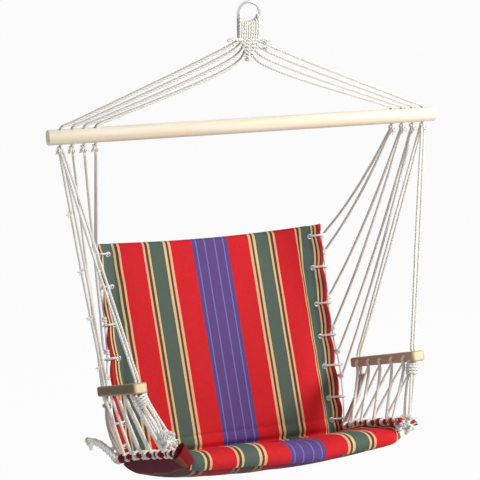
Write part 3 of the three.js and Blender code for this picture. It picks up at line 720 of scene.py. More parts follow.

# %% [markdown]
# The grain of wood runs along a piece: a noise that is long in X and short across gives the streaks, and
# finer flecks lie over it. The armrests are rougher and darker. Their end faces are painted paler, partly
# end grain and partly painted light, and their outer long side is darkened by painted shade.

# %% Wood finishes
def wood_finish(name, pale, deep, roughness, flecks, turn=(0, 0, 0), end_grain_and_light=None, outer_side_shade=None, outer=1):
    """Grain runs along X after the turn. The outer long side, -1 or 1 in Y, may get painted shade."""
    shine = {"Coat_Weight": 0.0 if end_grain_and_light else 0.15, "Coat_Roughness": 0.35, "Specular_IOR_Level": 0.3}
    material, tree, shader = new_finish(name, roughness, **shine)
    space = add_node(tree, "TexCoord").outputs
    board = add_node(tree, "Mapping", Vector=space["Object"], Rotation=turn).outputs["Vector"]
    rings = speckle(tree, board, 1.0, 6.0, (2.2, 42.0, 42.0), Roughness=0.6, Distortion=0.6)
    fleck = speckle(tree, board, 1.0, 3.0, (30.0, 700.0, 700.0))
    streaks = colour_bands(tree, rings, [(0.36, deep), (0.62, pale)])
    colour = colour_mix(tree, calculate(tree, "MULTIPLY", fleck, flecks), streaks, deep)
    # Partly end grain, partly painted light: faces that look along the board take the paler end colour.
    if end_grain_and_light:
        facing = add_node(tree, "Mapping", Vector=space["Normal"], Rotation=turn).outputs["Vector"]
        faces = add_node(tree, "SeparateXYZ", Vector=facing).outputs
        at_end = calculate(tree, "POWER", calculate(tree, "ABSOLUTE", faces["X"]), 5.0)
        # Painted shade: the outer long side is darkened, patchy along the grain's rings.
        outside = calculate(tree, "MAXIMUM", calculate(tree, "MULTIPLY", faces["Y"], outer), 0.0)
        patchy = calculate(tree, "MULTIPLY_ADD", rings, 0.5, 0.6)
        outer_shade_share = calculate(tree, "MULTIPLY", calculate(tree, "POWER", outside, 4.0), patchy)
        colour = colour_mix(tree, outer_shade_share, colour_mix(tree, at_end, colour, end_grain_and_light), outer_side_shade)
    dress(tree, shader, colour, fleck, 0.25, 0.0003)
    return material


bar_wood = wood_finish("pale_bar_wood", (0.96, 0.9, 0.78, 1), (0.84, 0.72, 0.54, 1), 0.5, 0.35)

# %% [markdown]
# The spreader bar is one turned dowel of pale wood with four holes through each end. The dowel is a cone
# primitive with equal ends, its rims bevelled, and the holes are cut with a boolean.

# %% Spreader bar
BAR_LENGTH = 950 * MM
BAR_DIAMETER = 35 * MM
BAR_DROP = 280 * MM
BAR_TOP = -BAR_DROP + BAR_DIAMETER / 2
BAR_EDGE = 3 * MM
HOLE_WIDTH = 13.6 * MM
QUARTER = math.pi / 2


def add_rod(form, place, diameter, length, turn, segments=24):
    matrix = Matrix.Translation(place) @ turn
    wide = {"radius1": diameter / 2, "radius2": diameter / 2}
    bmesh.ops.create_cone(form, cap_ends=True, segments=segments, depth=length, matrix=matrix, **wide)


def rods(places, diameter, length, turn=Matrix.Identity(4)):
    form = bmesh.new()
    for place in places:
        add_rod(form, place, diameter, length, turn)
    return form_to_mesh(form, "rods")


def soften(form, edges, width, steps):
    bmesh.ops.bevel(form, geom=edges, offset=width, segments=steps, profile=0.5, affect="EDGES", material=-1)


def cut_by(body, tools):
    """The body's mesh with every tool cut out of it."""
    pieces = put("cut_body", body), put("cut_tools", tools)
    cut = pieces[0].modifiers.new("cut", "BOOLEAN")
    cut.operation = "DIFFERENCE"
    cut.solver = "EXACT"
    cut.object = pieces[1]
    mesh = final_mesh(pieces[0])
    for made in pieces:
        bpy.data.objects.remove(made)
    return mesh


def smooth_by_angle(mesh, degrees):
    """Shades the mesh smooth, apart from the edges that turn by more than this."""
    mesh.update()
    form = bmesh.new()
    form.from_mesh(mesh)
    for edge in form.edges:
        edge.smooth = len(edge.link_faces) == 2 and edge.calc_face_angle(0) < math.radians(degrees)
    form.to_mesh(mesh)
    form.free()


bar_form = bmesh.new()
add_rod(bar_form, (0, 0, -BAR_DROP), BAR_DIAMETER, BAR_LENGTH, Matrix.Rotation(QUARTER, 4, "Y"), 64)
soften(bar_form, [e for e in bar_form.edges if e.verts[0].co.x * e.verts[1].co.x > 0], BAR_EDGE, 5)
hole_places = [Vector((bar_hole(side, hole), 0, -BAR_DROP)) for side in (-1, 1) for hole in range(4)]
bar_mesh = cut_by(form_to_mesh(bar_form, "bar"), rods(hole_places, HOLE_WIDTH, 2 * BAR_DIAMETER))
bar = add_piece("bar", bar_mesh, "spreader", "spreader_bar", bar_wood)
smooth_by_angle(bar.data, 35)

# %% [markdown]
# From the neck two ropes fan out to each hole of the bar, pass down through it and end in an overhand knot
# under it, with a tuft of loose yarns. Inside the neck each rope is one of the bound columns, so its route
# starts there. The outermost column leaves the neck first and goes to the outermost hole.

# %% Bridle ropes
ROPE_GAP = 6.6 * MM
KNOT = 16 * MM
FINE_YARN = 2.6 * MM
BRIDLE_EXIT_SHARES = [0.12, 0.34, 0.6, 0.86]  # where each pair leaves the neck, from its top to its foot


def bridle_route(side, hole, face):
    bound_x = column_x(side * (4 - hole))
    exit_z = -BRAID_TOP - BRAID_LENGTH * BRIDLE_EXIT_SHARES[hole]
    x = bar_hole(side, hole)
    y = face * ROPE_GAP / 2
    toward = Vector((x - side * 30 * MM, y, BAR_TOP + 14 * MM))
    return [
        (bound_x, face * 4 * MM, -BRAID_TOP),
        (bound_x, face * 3.8 * MM, lerp(-BRAID_TOP, exit_z, 0.55)),
        Vector((bound_x, y, exit_z)).lerp(toward, 0.06) - UPWARD * MM,
        toward,
        (x - side * ROPE / 2, y, BAR_TOP + ROPE / 2),
        (x, y, BAR_TOP - ROPE),
        bar_knot(side, hole) + Vector((0, y, 4 * MM)),
    ]


for side_name, side in SIDES.items():
    for hole in range(4):
        centre = bar_knot(side, hole)
        pair = rope_form([bridle_route(side, hole, face) for face in (-1, 1)])
        knot = rope_form([knot_route(centre, KNOT + 3 * MM)], closed=True)
        tuft_routes = fray_routes(centre, (side * 0.4, -0.5, -0.7), 14 * MM, 9 * MM, 18, 0.3)
        fan = joined([pair, knot, rope_form(tuft_routes, FINE_YARN, YARN_LAY)], "fan")
        add_piece(f"{side_name}_fan_{hole + 1}", fan, "spreader", f"{side_name}_bridle_{hole + 1}")

# %% [markdown]
# A cord hangs down beside each hem of the back. The hem is pinched in at its eyelets and bulges out between
# them, and the ropes that end on the cord draw it away from the cloth and curl the hem forward.

# %% Hem of the back
BACK_TOP_SAG = 9 * MM
EYELET_DROPS = [32, 112, 205, 287, 364, 445, 501]  # mm down from the back's top
HEM_HALF = 4 * MM
SCALLOP = 3.5 * MM  # how far the hem bulges out between two eyelets
PINCH = 2.5 * MM  # how far an eyelet's loop pulls it in
HEM_CURL = 9 * MM
HEM_CURL_WIDTH = 38 * MM
LACE = 6.2 * MM
HEM_CORD = 5 * MM
HEM_CORD_FRONT = 5 * MM
HEM_CORD_SWING = [(0, 4), (105, 5), (140, 12), (165, 8), (190, 4), (269, 5), (318, 9), (336, 13)]
HEM_CORD_SWING += [(375, 14), (445, 12), (501, 7), (560, 5)]  # mm down from the top, mm out from the hem


def between_eyelets(up):
    """0 at an eyelet, 1 half way between two of them."""
    drop = (BACK_LENGTH - up) / MM
    stops = [-20, *EYELET_DROPS, 560]
    for above, below in zip(stops, stops[1:]):
        if above <= drop <= below:
            return math.sin(math.pi * (drop - above) / (below - above)) ** 0.9
    return 1.0


def hem_curl(inset):
    """How far the hem stands to the front of the cushion's middle plane."""
    near = max(0.0, 1 - inset / HEM_CURL_WIDTH)
    return HEM_CURL * near * near * (2 - near)


def lace_x(up):
    """How far from the chair's middle the cord beside the hem hangs."""
    drop = (BACK_LENGTH - up) / MM
    for (above, wide), (below, narrow) in zip(HEM_CORD_SWING, HEM_CORD_SWING[1:]):
        if drop <= below:
            return back_half(up) + lerp(wide, narrow, eased(max(0, (drop - above) / (below - above)))) * MM
    return back_half(up) + HEM_CORD_SWING[-1][1] * MM


print("the cord hangs up to", max(out for drop, out in HEM_CORD_SWING), "mm out from the hem")

# %% [markdown]
# Six ropes on each side hang from the knots under the bar and carry the back. Each sags a little under its
# own weight and is hitched round the cord at the hem. The back can lean while the knots stay.

# %% Ropes that carry the back
BACK_ROPE_DROPS = [32, 74, 190, 269, 330, 392]  # mm down from the back's top
SAG_SHARE = 0.045


def sagging(start, end):
    """Five points of a rope that hangs between two ends."""
    drop = UPWARD * ((end - start).length * SAG_SHARE)
    middle = start.lerp(end, 0.5) - drop
    return [start, start.lerp(middle, 0.5) - drop / 4, middle, end.lerp(middle, 0.5) - drop / 4, end]


def hitch(side, up):
    """Turns round the cord at the hem, in the frame of the back."""
    reach = (HEM_CORD + ROPE) / 2
    route = []
    for k in range(11):
        turn = 2 * math.pi * k / 7
        out = side * (lace_x(up) + reach * math.cos(turn))
        route.append(back_point(out, up - 0.9 * MM * (k - 5), HEM_CORD_FRONT + reach * math.sin(turn)))
    return route


for side_name, side in SIDES.items():
    for k, drop in enumerate(BACK_ROPE_DROPS):
        start = bar_knot(side, 3 - k // 2) + Vector((0, (-1 if k % 2 else 1) * ROPE_GAP / 2, 0))
        turns = hitch(side, BACK_LENGTH - drop * MM)
        mesh = rope_form([sagging(start, turns[0])[:-1] + turns])
        rope = add_piece(f"{side_name}_side_rope_{k + 1}", mesh, None, f"{side_name}_back_rope_{k + 1}")
        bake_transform(rope)

# %% [markdown]
# An armrest is a straight board with rounded edges. Two ropes pass down through it near each end and are
# knotted under it. Five holes for the net start in its inner face, turn down and come out of its underside.
# The board is a cube primitive: its upright edges get a wide bevel, then every edge that is left gets a
# small one, and the holes are cut, one row of them at a time.

# %% Armrest boards
ARM_LENGTH = 360 * MM
ARM_WIDTH = 34 * MM
ARM_THICKNESS = 24 * MM
ARM_POST = 154 * MM  # from a board's middle to the hole of the ropes that carry it
NET_HOLES = [(128 - 66 * k) * MM for k in range(5)]  # from a board's middle towards its rear
NET_HOLE_WIDTH = ROPE + 1.8 * MM
NET_RISE = 2 * MM
ARM_HOLE_INSET = 7 * MM  # from the outer face to where a net hole turns down
POST_HOLE_WIDTH = ROPE + 1.2 * MM
ARM_CORNER = 10 * MM  # round of the upright edges
ARM_EDGE = 5 * MM  # and of all the others


def board_mesh(side):
    form = bmesh.new()
    bmesh.ops.create_cube(form, size=1, matrix=Matrix.Diagonal((ARM_WIDTH, ARM_LENGTH, ARM_THICKNESS, 1)))
    upright = [e for e in form.edges if abs(e.verts[0].co.z - e.verts[1].co.z) > ARM_THICKNESS / 2]
    soften(form, upright, ARM_CORNER, 6)
    soften(form, [e for e in form.edges if e.calc_face_angle(0) > math.radians(60)], ARM_EDGE, 4)
    drilled = form_to_mesh(form, "arm")
    for shift in (-1, 1):
        places = [Vector((shift * ROPE / 2, end * ARM_POST, 0)) for end in (-1, 1)]
        drilled = cut_by(drilled, rods(places, POST_HOLE_WIDTH, 2 * ARM_THICKNESS))
    inward = [Vector((-side * ARM_WIDTH / 2, y, NET_RISE)) for y in NET_HOLES]
    crossways = Matrix.Rotation(QUARTER, 4, "Y")
    drilled = cut_by(drilled, rods(inward, NET_HOLE_WIDTH, 2 * (ARM_WIDTH - ARM_HOLE_INSET), crossways))
    out = side * (ARM_WIDTH / 2 - ARM_HOLE_INSET)
    downward = [Vector((out, y, NET_RISE - ARM_THICKNESS)) for y in NET_HOLES]
    return cut_by(drilled, rods(downward, NET_HOLE_WIDTH, 2 * ARM_THICKNESS))


for side_name, side in SIDES.items():
    lengthwise = (Matrix.Rotation(QUARTER, 3, "Z") @ board_frame(side).to_3x3().inverted()).to_euler()
    arm_wood = wood_finish(
        f"{side_name}_arm_wood",
        pale=(0.72, 0.54, 0.36, 1),
        deep=(0.46, 0.31, 0.18, 1),
        roughness=0.75,
        flecks=0.5,
        turn=tuple(lengthwise),
        end_grain_and_light=(0.88, 0.74, 0.48, 1),
        outer_side_shade=(0.075, 0.055, 0.026, 1),
        outer=side,
    )
    mesh = board_mesh(side)
    mesh.transform(board_frame(side))
    add_piece(f"{side_name}_board", mesh, f"{side_name}_arm", f"{side_name}_armrest", arm_wood)
    smooth_by_angle(mesh, 40)

# %% [markdown]
# The outermost hole of the bar holds the four ropes that carry an armrest, two for each end. They pass
# through the board into a knot, and from that knot several ropes run on together to the seat: a thick
# bundle at the rear, and a looser one at the front that ends in the knot at the seat's corner. Four small
# knots with loose ends are tied round the ropes at the left rear.

# %% Armrest ropes
EDGE_ROPE = 8 * MM
EDGE_OUT = 4.3 * MM  # from the seat's hem out to the middle of the rope along it
EDGE_OVERS = {-1: 10 * MM, 1: 19 * MM}  # the right side of the seat is pulled up more
POST_KNOTS = {"left_rear": (0.26, 0.5, 0.7, 0.92)}  # small knots tied round the rope, as shares of its length
SMALL_ROPE = 4 * MM
SMALL_KNOT = 13 * MM
CORNER_KNOT_PLACES = {-1: mm(-293, -262, -927), 1: mm(290, -275, -958)}
FRONT_KNOT_LEANS = {-1: mm(4, -12, 2), 1: mm(-11, -5, 0)}
ARM_KNOT_DROPS = {1: 36 * MM, -1: 25 * MM}  # under the board's centre, at its rear and front
REAR, FRONT = 1, -1
BUNDLES = {  # end, strands, their twist in radians, their spread, finish
    "rear": (REAR, 5, 2.2, 4.2 * MM, shaded_bundle_cotton),
    "front": (FRONT, 3, 0.5, 7.5 * MM, cotton),
}


def edge_point(side, forward, out=EDGE_OUT, over=0.0):
    """A point by the rope along the seat's side: out from the hem, and over the rope's middle."""
    lift = EDGE_OVERS[side] * clamp(lerp(0.35, 1, forward / (120 * MM)))
    return seat_point(side * (seat_half(forward) + out) + seat_drift(forward), forward, lift + over)


def on_board(side, across, rearward, up):
    return board_frame(side) @ Vector((across, rearward, up))


def arm_knot(side, end):
    lean = FRONT_KNOT_LEANS[side] if end == FRONT else Vector()
    return on_board(side, 0, end * ARM_POST, -ARM_KNOT_DROPS[end]) + lean


def post_route(side, end, shift):
    """One of the two ropes that carry this end of a board, from knot to knot."""
    top, low = (on_board(side, shift * ROPE / 2, end * ARM_POST, up * MM) for up in (18, 8))
    start = bar_knot(side, 0) + Vector((shift * ROPE / 2, end * ROPE_GAP / 2, 0))
    middle = start.lerp(top, 0.5) + mm(shift * 1.4, 0, -3)
    return [start, middle, start.lerp(top, 0.9), top, low, arm_knot(side, end)]


def tie_route(knot, foot, turn, twist, wide, bow):
    """One strand of a bundle from the knot under a board to the seat."""
    route = []
    for step in range(6):
        share = step / 5
        middle = math.sin(math.pi * share)
        spread_out = ring_place(OUTWARD, REARWARD, turn + twist * share) * wide * (0.7 + 0.6 * middle)
        route.append(knot.lerp(foot, share) + OUTWARD * bow * middle + spread_out)
    return route


def knotted(post, places):
    """The rope with small knots and their loose ends at these places."""
    turns, ends = [], []
    for place in places:
        turns.append(knot_route(place, SMALL_KNOT, rope=SMALL_ROPE))
        ends += fray_routes(place, (-1, -0.4, -0.6), SMALL_KNOT, 4 * MM, 7, 0.2)
    knots = rope_form(turns, SMALL_ROPE, closed=True)
    return joined([post, knots, rope_form(ends, FINE_YARN, YARN_LAY)], "post")


for side_name, side in SIDES.items():
    for end_name, (end, count, twist, wide, finish) in BUNDLES.items():
        name = f"{side_name}_{end_name}"
        ropes = [post_route(side, end, shift) for shift in (-1, 1)]
        start, top = ropes[0][0], ropes[0][3]
        post_mesh = rope_form(ropes)
        if name in POST_KNOTS:
            post_mesh = knotted(post_mesh, [start.lerp(top, share) for share in POST_KNOTS[name]])
        post = add_piece(f"{name}_post", post_mesh, None, f"{name}_arm_rope")
        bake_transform(post)

        knot = arm_knot(side, end)
        if end == REAR:
            foot, bow = edge_point(side, 0.05 * SEAT_DEPTH) + mm(0, 0, 4), side * 9 * MM
            wound = rope_form([knot_route(knot, KNOT + 10 * MM)], closed=True)
        else:
            foot, bow = CORNER_KNOT_PLACES[side], 0
            half = (foot - knot).normalized() * 15 * MM
            wound = rope_form([coil_route(knot - half, knot + half, 12 * MM, 4.5)])
        strands = [tie_route(knot, foot, 2 * math.pi * k / count, twist, wide, bow) for k in range(count)]
        tie_mesh = joined([rope_form(strands), wound], "tie")
        tie = add_piece(f"{name}_bundle", tie_mesh, None, f"{name}_arm_tie", finish)
        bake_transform(tie)

# %% [markdown]
# The net is five ropes. Each goes up to the board's underside, turns in its hole, comes out of the inner
# face and goes down again. Both ends go round the seat's side rope. The legs of neighbours cross on their
# way down, because a leg's foot lies further forward than its hole. These ropes are softer and thicker than
# the others, and their finish paints lighter shade into the hollows between the strands, so they look paler.

# %% Net under each armrest
NET_ROPE = 8.2 * MM
NET_INNER = [0.29, 0.45, 0.65, 0.83, 0.92]  # feet, as shares of the seat's depth
NET_OUTER = [0.13, 0.245, 0.395, 0.56, 0.75]


def foot_turns(side, share, inside):
    """The rope's end goes under the edge rope and up again."""
    reach = (EDGE_ROPE + NET_ROPE) / 2
    route = []
    for degrees in (40, 90, 150, 210, 270, 320):
        turn = math.radians(degrees if inside else 180 - degrees)
        forward = share * SEAT_DEPTH + (degrees - 40) * 0.02 * MM
        route.append(edge_point(side, forward, EDGE_OUT - reach * math.cos(turn), reach * math.sin(turn)))
    return route


def net_route(side, hole, outer, inner):
    """From the outer foot up into the board, out of its inner face and down to the inner foot."""
    out = side * (ARM_WIDTH + NET_ROPE) / 2
    below = side * (ARM_WIDTH / 2 - ARM_HOLE_INSET)
    under = on_board(side, below, hole, -ARM_THICKNESS / 2 - 3 * MM)
    return [
        outer,
        outer.lerp(under, 0.9),
        under,
        on_board(side, below, hole, -NET_ROPE),
        on_board(side, side * 2 * MM, hole, NET_RISE),
        on_board(side, -out + side * 3 * MM, hole, NET_RISE),
        on_board(side, -out - side * 1 * MM, hole, NET_RISE - 5 * MM),
        on_board(side, -out, hole - 2 * MM, -ARM_THICKNESS / 2 - 6 * MM),
        inner,
    ]


for side_name, side in SIDES.items():
    for k, hole in enumerate(NET_HOLES):
        feet = [foot_turns(side, NET_OUTER[k], False), foot_turns(side, NET_INNER[k], True)]
        outer, inner = feet[0][0], feet[1][0]
        legs = [net_route(side, hole, outer, inner)]
        mesh = joined([rope_form(routes, NET_ROPE, YARN_LAY) for routes in (legs, feet)], "net")
        net = add_piece(f"{side_name}_net_{k + 1}", mesh, None, f"{side_name}_net_rope_{k + 1}", light_shade_cotton)
        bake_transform(net)

# %% [markdown]
# Striped cotton canvas covers the back and the seat. The stripes run lengthwise and lie the same on both
# sides of the middle. They are woven in, so they follow the cloth and not the space around it: each point
# of the cushions carries its place on the flat cloth, and a colour ramp over the distance from the middle
# paints it. The third number of that place is below 0 on the cloth's rear, where painted shade dulls its
# colours.

# %% Canvas finish
STRIPE_SPAN = 340  # mm from the cloth's middle to the end of the ramp
RED = (0.68, 0.014, 0.022, 1)
PURPLE = (0.12, 0.07, 0.26, 1)
PALE_LINE = (0.22, 0.2, 0.5, 1)
PEACH = (0.95, 0.48, 0.27, 1)
DARK = (0.12, 0.055, 0.03, 1)
TAN = (0.76, 0.6, 0.34, 1)
OLIVE = (0.13, 0.12, 0.07, 1)
GREEN = (0.095, 0.14, 0.115, 1)
MAROON = (0.16, 0.012, 0.02, 1)
# Partly painted shade: the hem's outer red, deepened as if turned away from the light.
DEEP_RED_AND_SHADE = (0.55, 0.015, 0.02, 1)
# Painted shade: the dark wine band stands for the shadow on the left hem.
SHADE_WINE = (0.2, 0.006, 0.014, 1)
# Painted shade, mixed into the colours of the cloth's rear faces.
REAR_SHADE = (0.1, 0.03, 0.05, 1)
PALE_YARN = (0.75, 0.66, 0.6, 1)
# Third number of the cloth place for each face: below 0 sets the share of painted shade, about a quarter on
# the back's rear and nearly three quarters under the seat.
FRONT_FACE, BACK_REAR, SEAT_UNDERSIDE = 0.5, -0.3, -0.8
STRIPES = [
    (0, PURPLE), (10.7, PALE_LINE), (13.3, PURPLE), (33.4, PALE_LINE), (36.2, PURPLE), (45.3, RED),
    (102, PEACH), (107.6, DARK), (113.8, TAN), (119.6, OLIVE), (124, GREEN), (152.5, OLIVE), (156, TAN),
    (161.8, DARK), (168, PEACH), (173.8, RED), (230, PEACH), (235.6, DARK), (241.8, TAN), (247.6, OLIVE),
    (250.5, GREEN), (275, TAN), (279, MAROON), (284, PEACH), (287.5, DARK), (291, DEEP_RED_AND_SHADE), (312, SHADE_WINE),
]

canvas, tree, shader = new_finish("striped_canvas", 0.95, Specular_IOR_Level=0.05)
cloth_place = add_node(tree, "Attribute", {"attribute_name": "cloth"}).outputs["Vector"]
split = add_node(tree, "SeparateXYZ", Vector=cloth_place).outputs
slub = speckle(tree, cloth_place, 900.0, 3.0, (1.3, 0.06, 1.0))
cross = speckle(tree, cloth_place, 900.0, 3.0, (0.06, 1.3, 1.0))
ragged = calculate(tree, "MULTIPLY_ADD", cross, 0.0012, -0.0006)
from_middle = calculate(tree, "ABSOLUTE", calculate(tree, "ADD", split["X"], ragged))
ramp_place = calculate(tree, "MULTIPLY", from_middle, 1 / (STRIPE_SPAN * MM))
stops = [(place / STRIPE_SPAN, colour) for place, colour in STRIPES]
bands = colour_bands(tree, ramp_place, stops, "CONSTANT")
warp_wave, weft_wave = (
    add_node(tree, "TexWave", {"bands_direction": way}, Vector=cloth_place, Scale=scale).outputs["Fac"]
    for way, scale in (("X", 190.0), ("Y", 160.0))
)
weave = calculate(tree, "MULTIPLY", calculate(tree, "ADD", warp_wave, weft_wave), 0.5)
threads = calculate(tree, "ADD", slub, cross)
# Painted shade on the rear faces, strongest on the seat's underside.
rear_shade_share = calculate(tree, "MAXIMUM", calculate(tree, "MULTIPLY", split["Z"], -0.9), 0.0)
lightness = calculate(tree, "MULTIPLY_ADD", threads, 0.42, 0.58)
grey = add_node(tree, "CombineColor", Red=lightness, Green=lightness, Blue=lightness).outputs["Color"]
lit = colour_mix(tree, 1.0, colour_mix(tree, rear_shade_share, bands, REAR_SHADE), grey, "MULTIPLY")
pale_share = calculate(tree, "MULTIPLY", calculate(tree, "POWER", weft_wave, 3.0), 0.06)
relief = calculate(tree, "ADD", weave, calculate(tree, "MULTIPLY", threads, 0.5))
dress(tree, shader, colour_mix(tree, pale_share, lit, PALE_YARN), relief, 0.35, 0.0004)

# %% [markdown]
# Back and seat are one long cover with padding sewn between its layers. Each is a flat grid that is
# extruded into two layers, and every point is then moved to its place: the hem stays thin, and the padding
# swells between the hems and the sewn line across the foot of the back. The cover is pulled tight, so it
# has no free folds, and a smooth noise gives the small puckers that the hem and the seams pull into it.

# %% Cushion maker
def cloth_drift(up):
    """The canvas was sewn a little askew: how far its middle lies to the right, by the height on the back."""
    return (22 - (0.06 if up > 0 else 0.027) * up / MM) * MM


def rounded(distance, radius):
    """From 0 at an edge to 1 at this radius from it, as a quarter of a circle rises."""
    short = max(0.0, radius - distance)
    return math.sqrt(max(0.0, radius * radius - short * short)) / radius


def spread(value):
    """Places from -1 to 1, closer together at both ends."""
    return value * (1.5 - 0.5 * value * value)


def along_share(along):
    """From 0 to 1, and only a little closer together at both ends."""
    return (lerp(along, spread(along), 0.35) + 1) / 2


def layered_grid(across_steps, along_steps):
    """Two square layers, -1 to 1 in X and Y, joined round their rim, with Z telling them apart."""
    form = bmesh.new()
    bmesh.ops.create_grid(form, x_segments=across_steps, y_segments=along_steps, size=1)
    extruded = bmesh.ops.extrude_face_region(form, geom=form.faces[:])
    raised = {g for g in extruded["geom"] if isinstance(g, bmesh.types.BMVert)}
    for vertex in form.verts:
        vertex.co.z = 1 if vertex in raised else -1
    return form


def lay_cloth(form, place):
    """Moves each point by place(x, y, z), which also gives its place on the flat cloth."""
    cloth = form.verts.layers.float_vector.new("cloth")
    for vertex in form.verts:
        vertex.co, vertex[cloth] = place(*vertex.co)


def cloth_mesh(form, place, name):
    lay_cloth(form, place)
    tidy_form(form)
    return form_to_mesh(form, name)


def subdivided(piece):
    finer = piece.modifiers.new("smooth", "SUBSURF")
    finer.levels = finer.render_levels = 1
    return piece

# %% [markdown]
# The back stands on a flat web of cloth at the fold, and a sewn line crosses it a little higher. Its top
# sags between the corners. The right hem is gathered, so its outer stripes lie closer together there.

# %% Back cushion
BACK_GRID = (118, 112)
WEB_REACH = 20 * MM  # how far the flat web runs on to the seat, past the fold
WEB_HALF = 2.4 * MM
FOLD_BEND = 14 * MM
PAD_HALF = 13 * MM  # half the padding's thickness where it is full
PAD_START = 36 * MM  # the padding begins this far in from the hem, and is full after its rise
PAD_RISE = 50 * MM
HEM_SWELL = 3.2 * MM  # the hem is this much thicker between two eyelets
TOP_ROUND = 13 * MM
FOOT_START = 6 * MM  # the padding begins this high over the fold, and is full after its rise
FOOT_RISE = 14 * MM
FOOT_SEAM = 36 * MM  # height of the sewn line
FOOT_TOP = 60 * MM  # the foot of the back ends here
PUCKER = 1.6 * MM
GATHER_LENGTH = 130 * MM  # below the top, over which the right hem becomes gathered
HEM_EDGE = 300  # mm from the pattern's middle to the edge of the right hem
HEM_ROLL = 26  # mm, width of the hem's rolled edge
SEAM_STRIPE = (230, 250.5, 275)  # mm from the pattern's middle: the red band's end, and the green one's ends


def canvas_line(up):
    """Middle of the canvas in the YZ plane and the way it faces: up the back, or along the seat below 0."""
    share = eased(clamp((up + FOLD_BEND) / (2 * FOLD_BEND)))
    on_back = FOLD + UP_BACK * up
    on_seat = FOLD + ALONG_SEAT * -up - OVER_SEAT * 4 * MM
    return on_seat.lerp(on_back, share), OVER_SEAT.lerp(FRONT_OF_BACK, share).normalized()


def hem_cloth(inset, edge):
    """Place on the flat cloth by the gathered right hem, in mm. Flat, its edge would read this edge."""
    red_end, green_start, green_end = SEAM_STRIPE
    red_inset = edge - red_end
    stops = [(0, HEM_EDGE), (HEM_ROLL, green_end), (red_inset - 8, green_start), (red_inset, red_end)]
    for (near, high), (far, low) in zip(stops, stops[1:]):
        if inset <= far:
            return lerp(high, low, max(0, inset - near) / max(1, far - near))
    return edge - inset


def back_place(across, along, face):
    side_share = spread(across)
    sag = BACK_TOP_SAG * (1 - side_share * side_share) + 3 * MM * (1 - max(0, side_share)) ** 0.5
    top = BACK_LENGTH - sag
    up = -WEB_REACH + (top + WEB_REACH) * along_share(along)
    loose = between_eyelets(up)
    flat_half = back_half(max(0, up))
    half_width = flat_half + abs(side_share) ** 8 * lerp(-PINCH, SCALLOP, loose)
    inset = (1 - abs(side_share)) * half_width
    fullness = rounded(max(0, inset - PAD_START), PAD_RISE)
    hem_roll = HEM_SWELL * loose * tent(inset, 7 * MM, 9 * MM) ** 0.7
    half = lerp(HEM_HALF, PAD_HALF, fullness) + hem_roll
    half *= rounded(inset, 5 * MM) * rounded(top - up, TOP_ROUND)
    foot = rounded(up - FOOT_START, FOOT_RISE) if up > FOOT_START else 0
    if up < FOOT_TOP:
        seam = tent(up, FOOT_SEAM, 8 * MM) ** 1.5
        half = max(WEB_HALF * rounded(inset, 4 * MM), half * foot * (1 - 0.2 * seam))
    wrinkle = noise.noise(Vector((side_share * 5, up * 9, face))) * PUCKER * fullness
    curl = hem_curl(inset) * rounded(max(0, up), FOOT_TOP)
    cloth_x = side_share * flat_half - cloth_drift(up)
    if side_share > 0 and up > 0:
        edge = (flat_half - cloth_drift(up)) / MM
        gathered = min(1, (top - up) / GATHER_LENGTH)
        cloth_x = lerp(cloth_x, hem_cloth((1 - side_share) * flat_half / MM, edge) * MM, gathered)
    middle, facing = canvas_line(up)
    return (
        middle + OUTWARD * side_share * half_width + facing * (face * half + curl + face * wrinkle * foot),
        (cloth_x, up, FRONT_FACE if face > 0 else BACK_REAR),
    )


back_mesh = cloth_mesh(layered_grid(*BACK_GRID), back_place, "back")
back = subdivided(add_piece("back_pad", back_mesh, None, "back_cushion", canvas))
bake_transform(back)

# %% [markdown]
# The seat has the same layers, sewn together along a crease under the front roll. Its shape comes from two
# lines, drawn from the rear to that crease: one over the padding and one under it. They are drawn
# once for the middle of the seat and once for its sides, and a third line is the seam where the layers meet
# at the hem. Sitting has hollowed the rear of the top, the roll in front stays full, and the underside
# bellies down.

# %% Shape of the seat cushion
SEAT_GRID = (120, 96)
TOP_LINE = [(10, -12), (18, -6), (70, -8), (150, -8), (215, -3), (268, 6), (320, 10), (370, 9)]
TOP_LINE += [(402, 4), (419, -5), (427, -16), (426, -28), (419, -37), (409, -41), (398, -35)]
TOP_SIDE_LINE = [(10, -12), (18, -2), (70, 6), (150, 9), (215, 9), (268, 8), (320, 8), (370, 7)]
TOP_SIDE_LINE += [(400, 4), (415, -1), (423, -8), (421, -19), (415, -27), (408, -31), (399, -27)]
UNDER_LINE = [(10, -12), (12, -24), (45, -34), (110, -46), (190, -55), (270, -58), (340, -56), (378, -51)]
UNDER_LINE += [(391, -45), (398, -35)]
UNDER_SIDE_LINE = [(10, -12), (13, -22), (45, -33), (110, -38), (190, -41), (270, -42), (340, -40)]
UNDER_SIDE_LINE += [(378, -37), (391, -34), (399, -27)]
SEAM_LINE = [(10, -12), (60, 0), (150, 7), (270, 9), (350, 7), (390, -5), (401, -20)]
LINE_STEP = 1.5 * MM
DIP_PLACE = 38 * MM  # the front roll sags here, a little right of the middle
DIP_WIDTH = 78 * MM
HEM_ROUND = 18 * MM  # the seat's sides are rounded over this width
END_ROUND = 34 * MM  # and the ends of its front roll over this one
ROLL_LUMP = 2.4 * MM
ROLL_HALF = 270 * MM  # half the roll's length
ROLL_START = 300 * MM  # forward of the fold
ROLL_RISE = 90 * MM
ROLL_PULL = 10 * MM  # its right end reaches this much further out
SIDE_HALF = 262 * MM  # from the seat's middle to its front corner
SEAM_LIFT = 9 * MM  # the right hem is drawn up by this
CLOTH_LENGTH = 0.47  # from the rear of the seat to the crease, over the roll
HEM_SEWN = 279 * MM  # from the pattern's middle, past which the hem is turned in by the tuck and sewn
HEM_TUCK = 34 * MM
UNDER_TURN = 24 * MM  # how far the top's stripes are drawn round to the underside
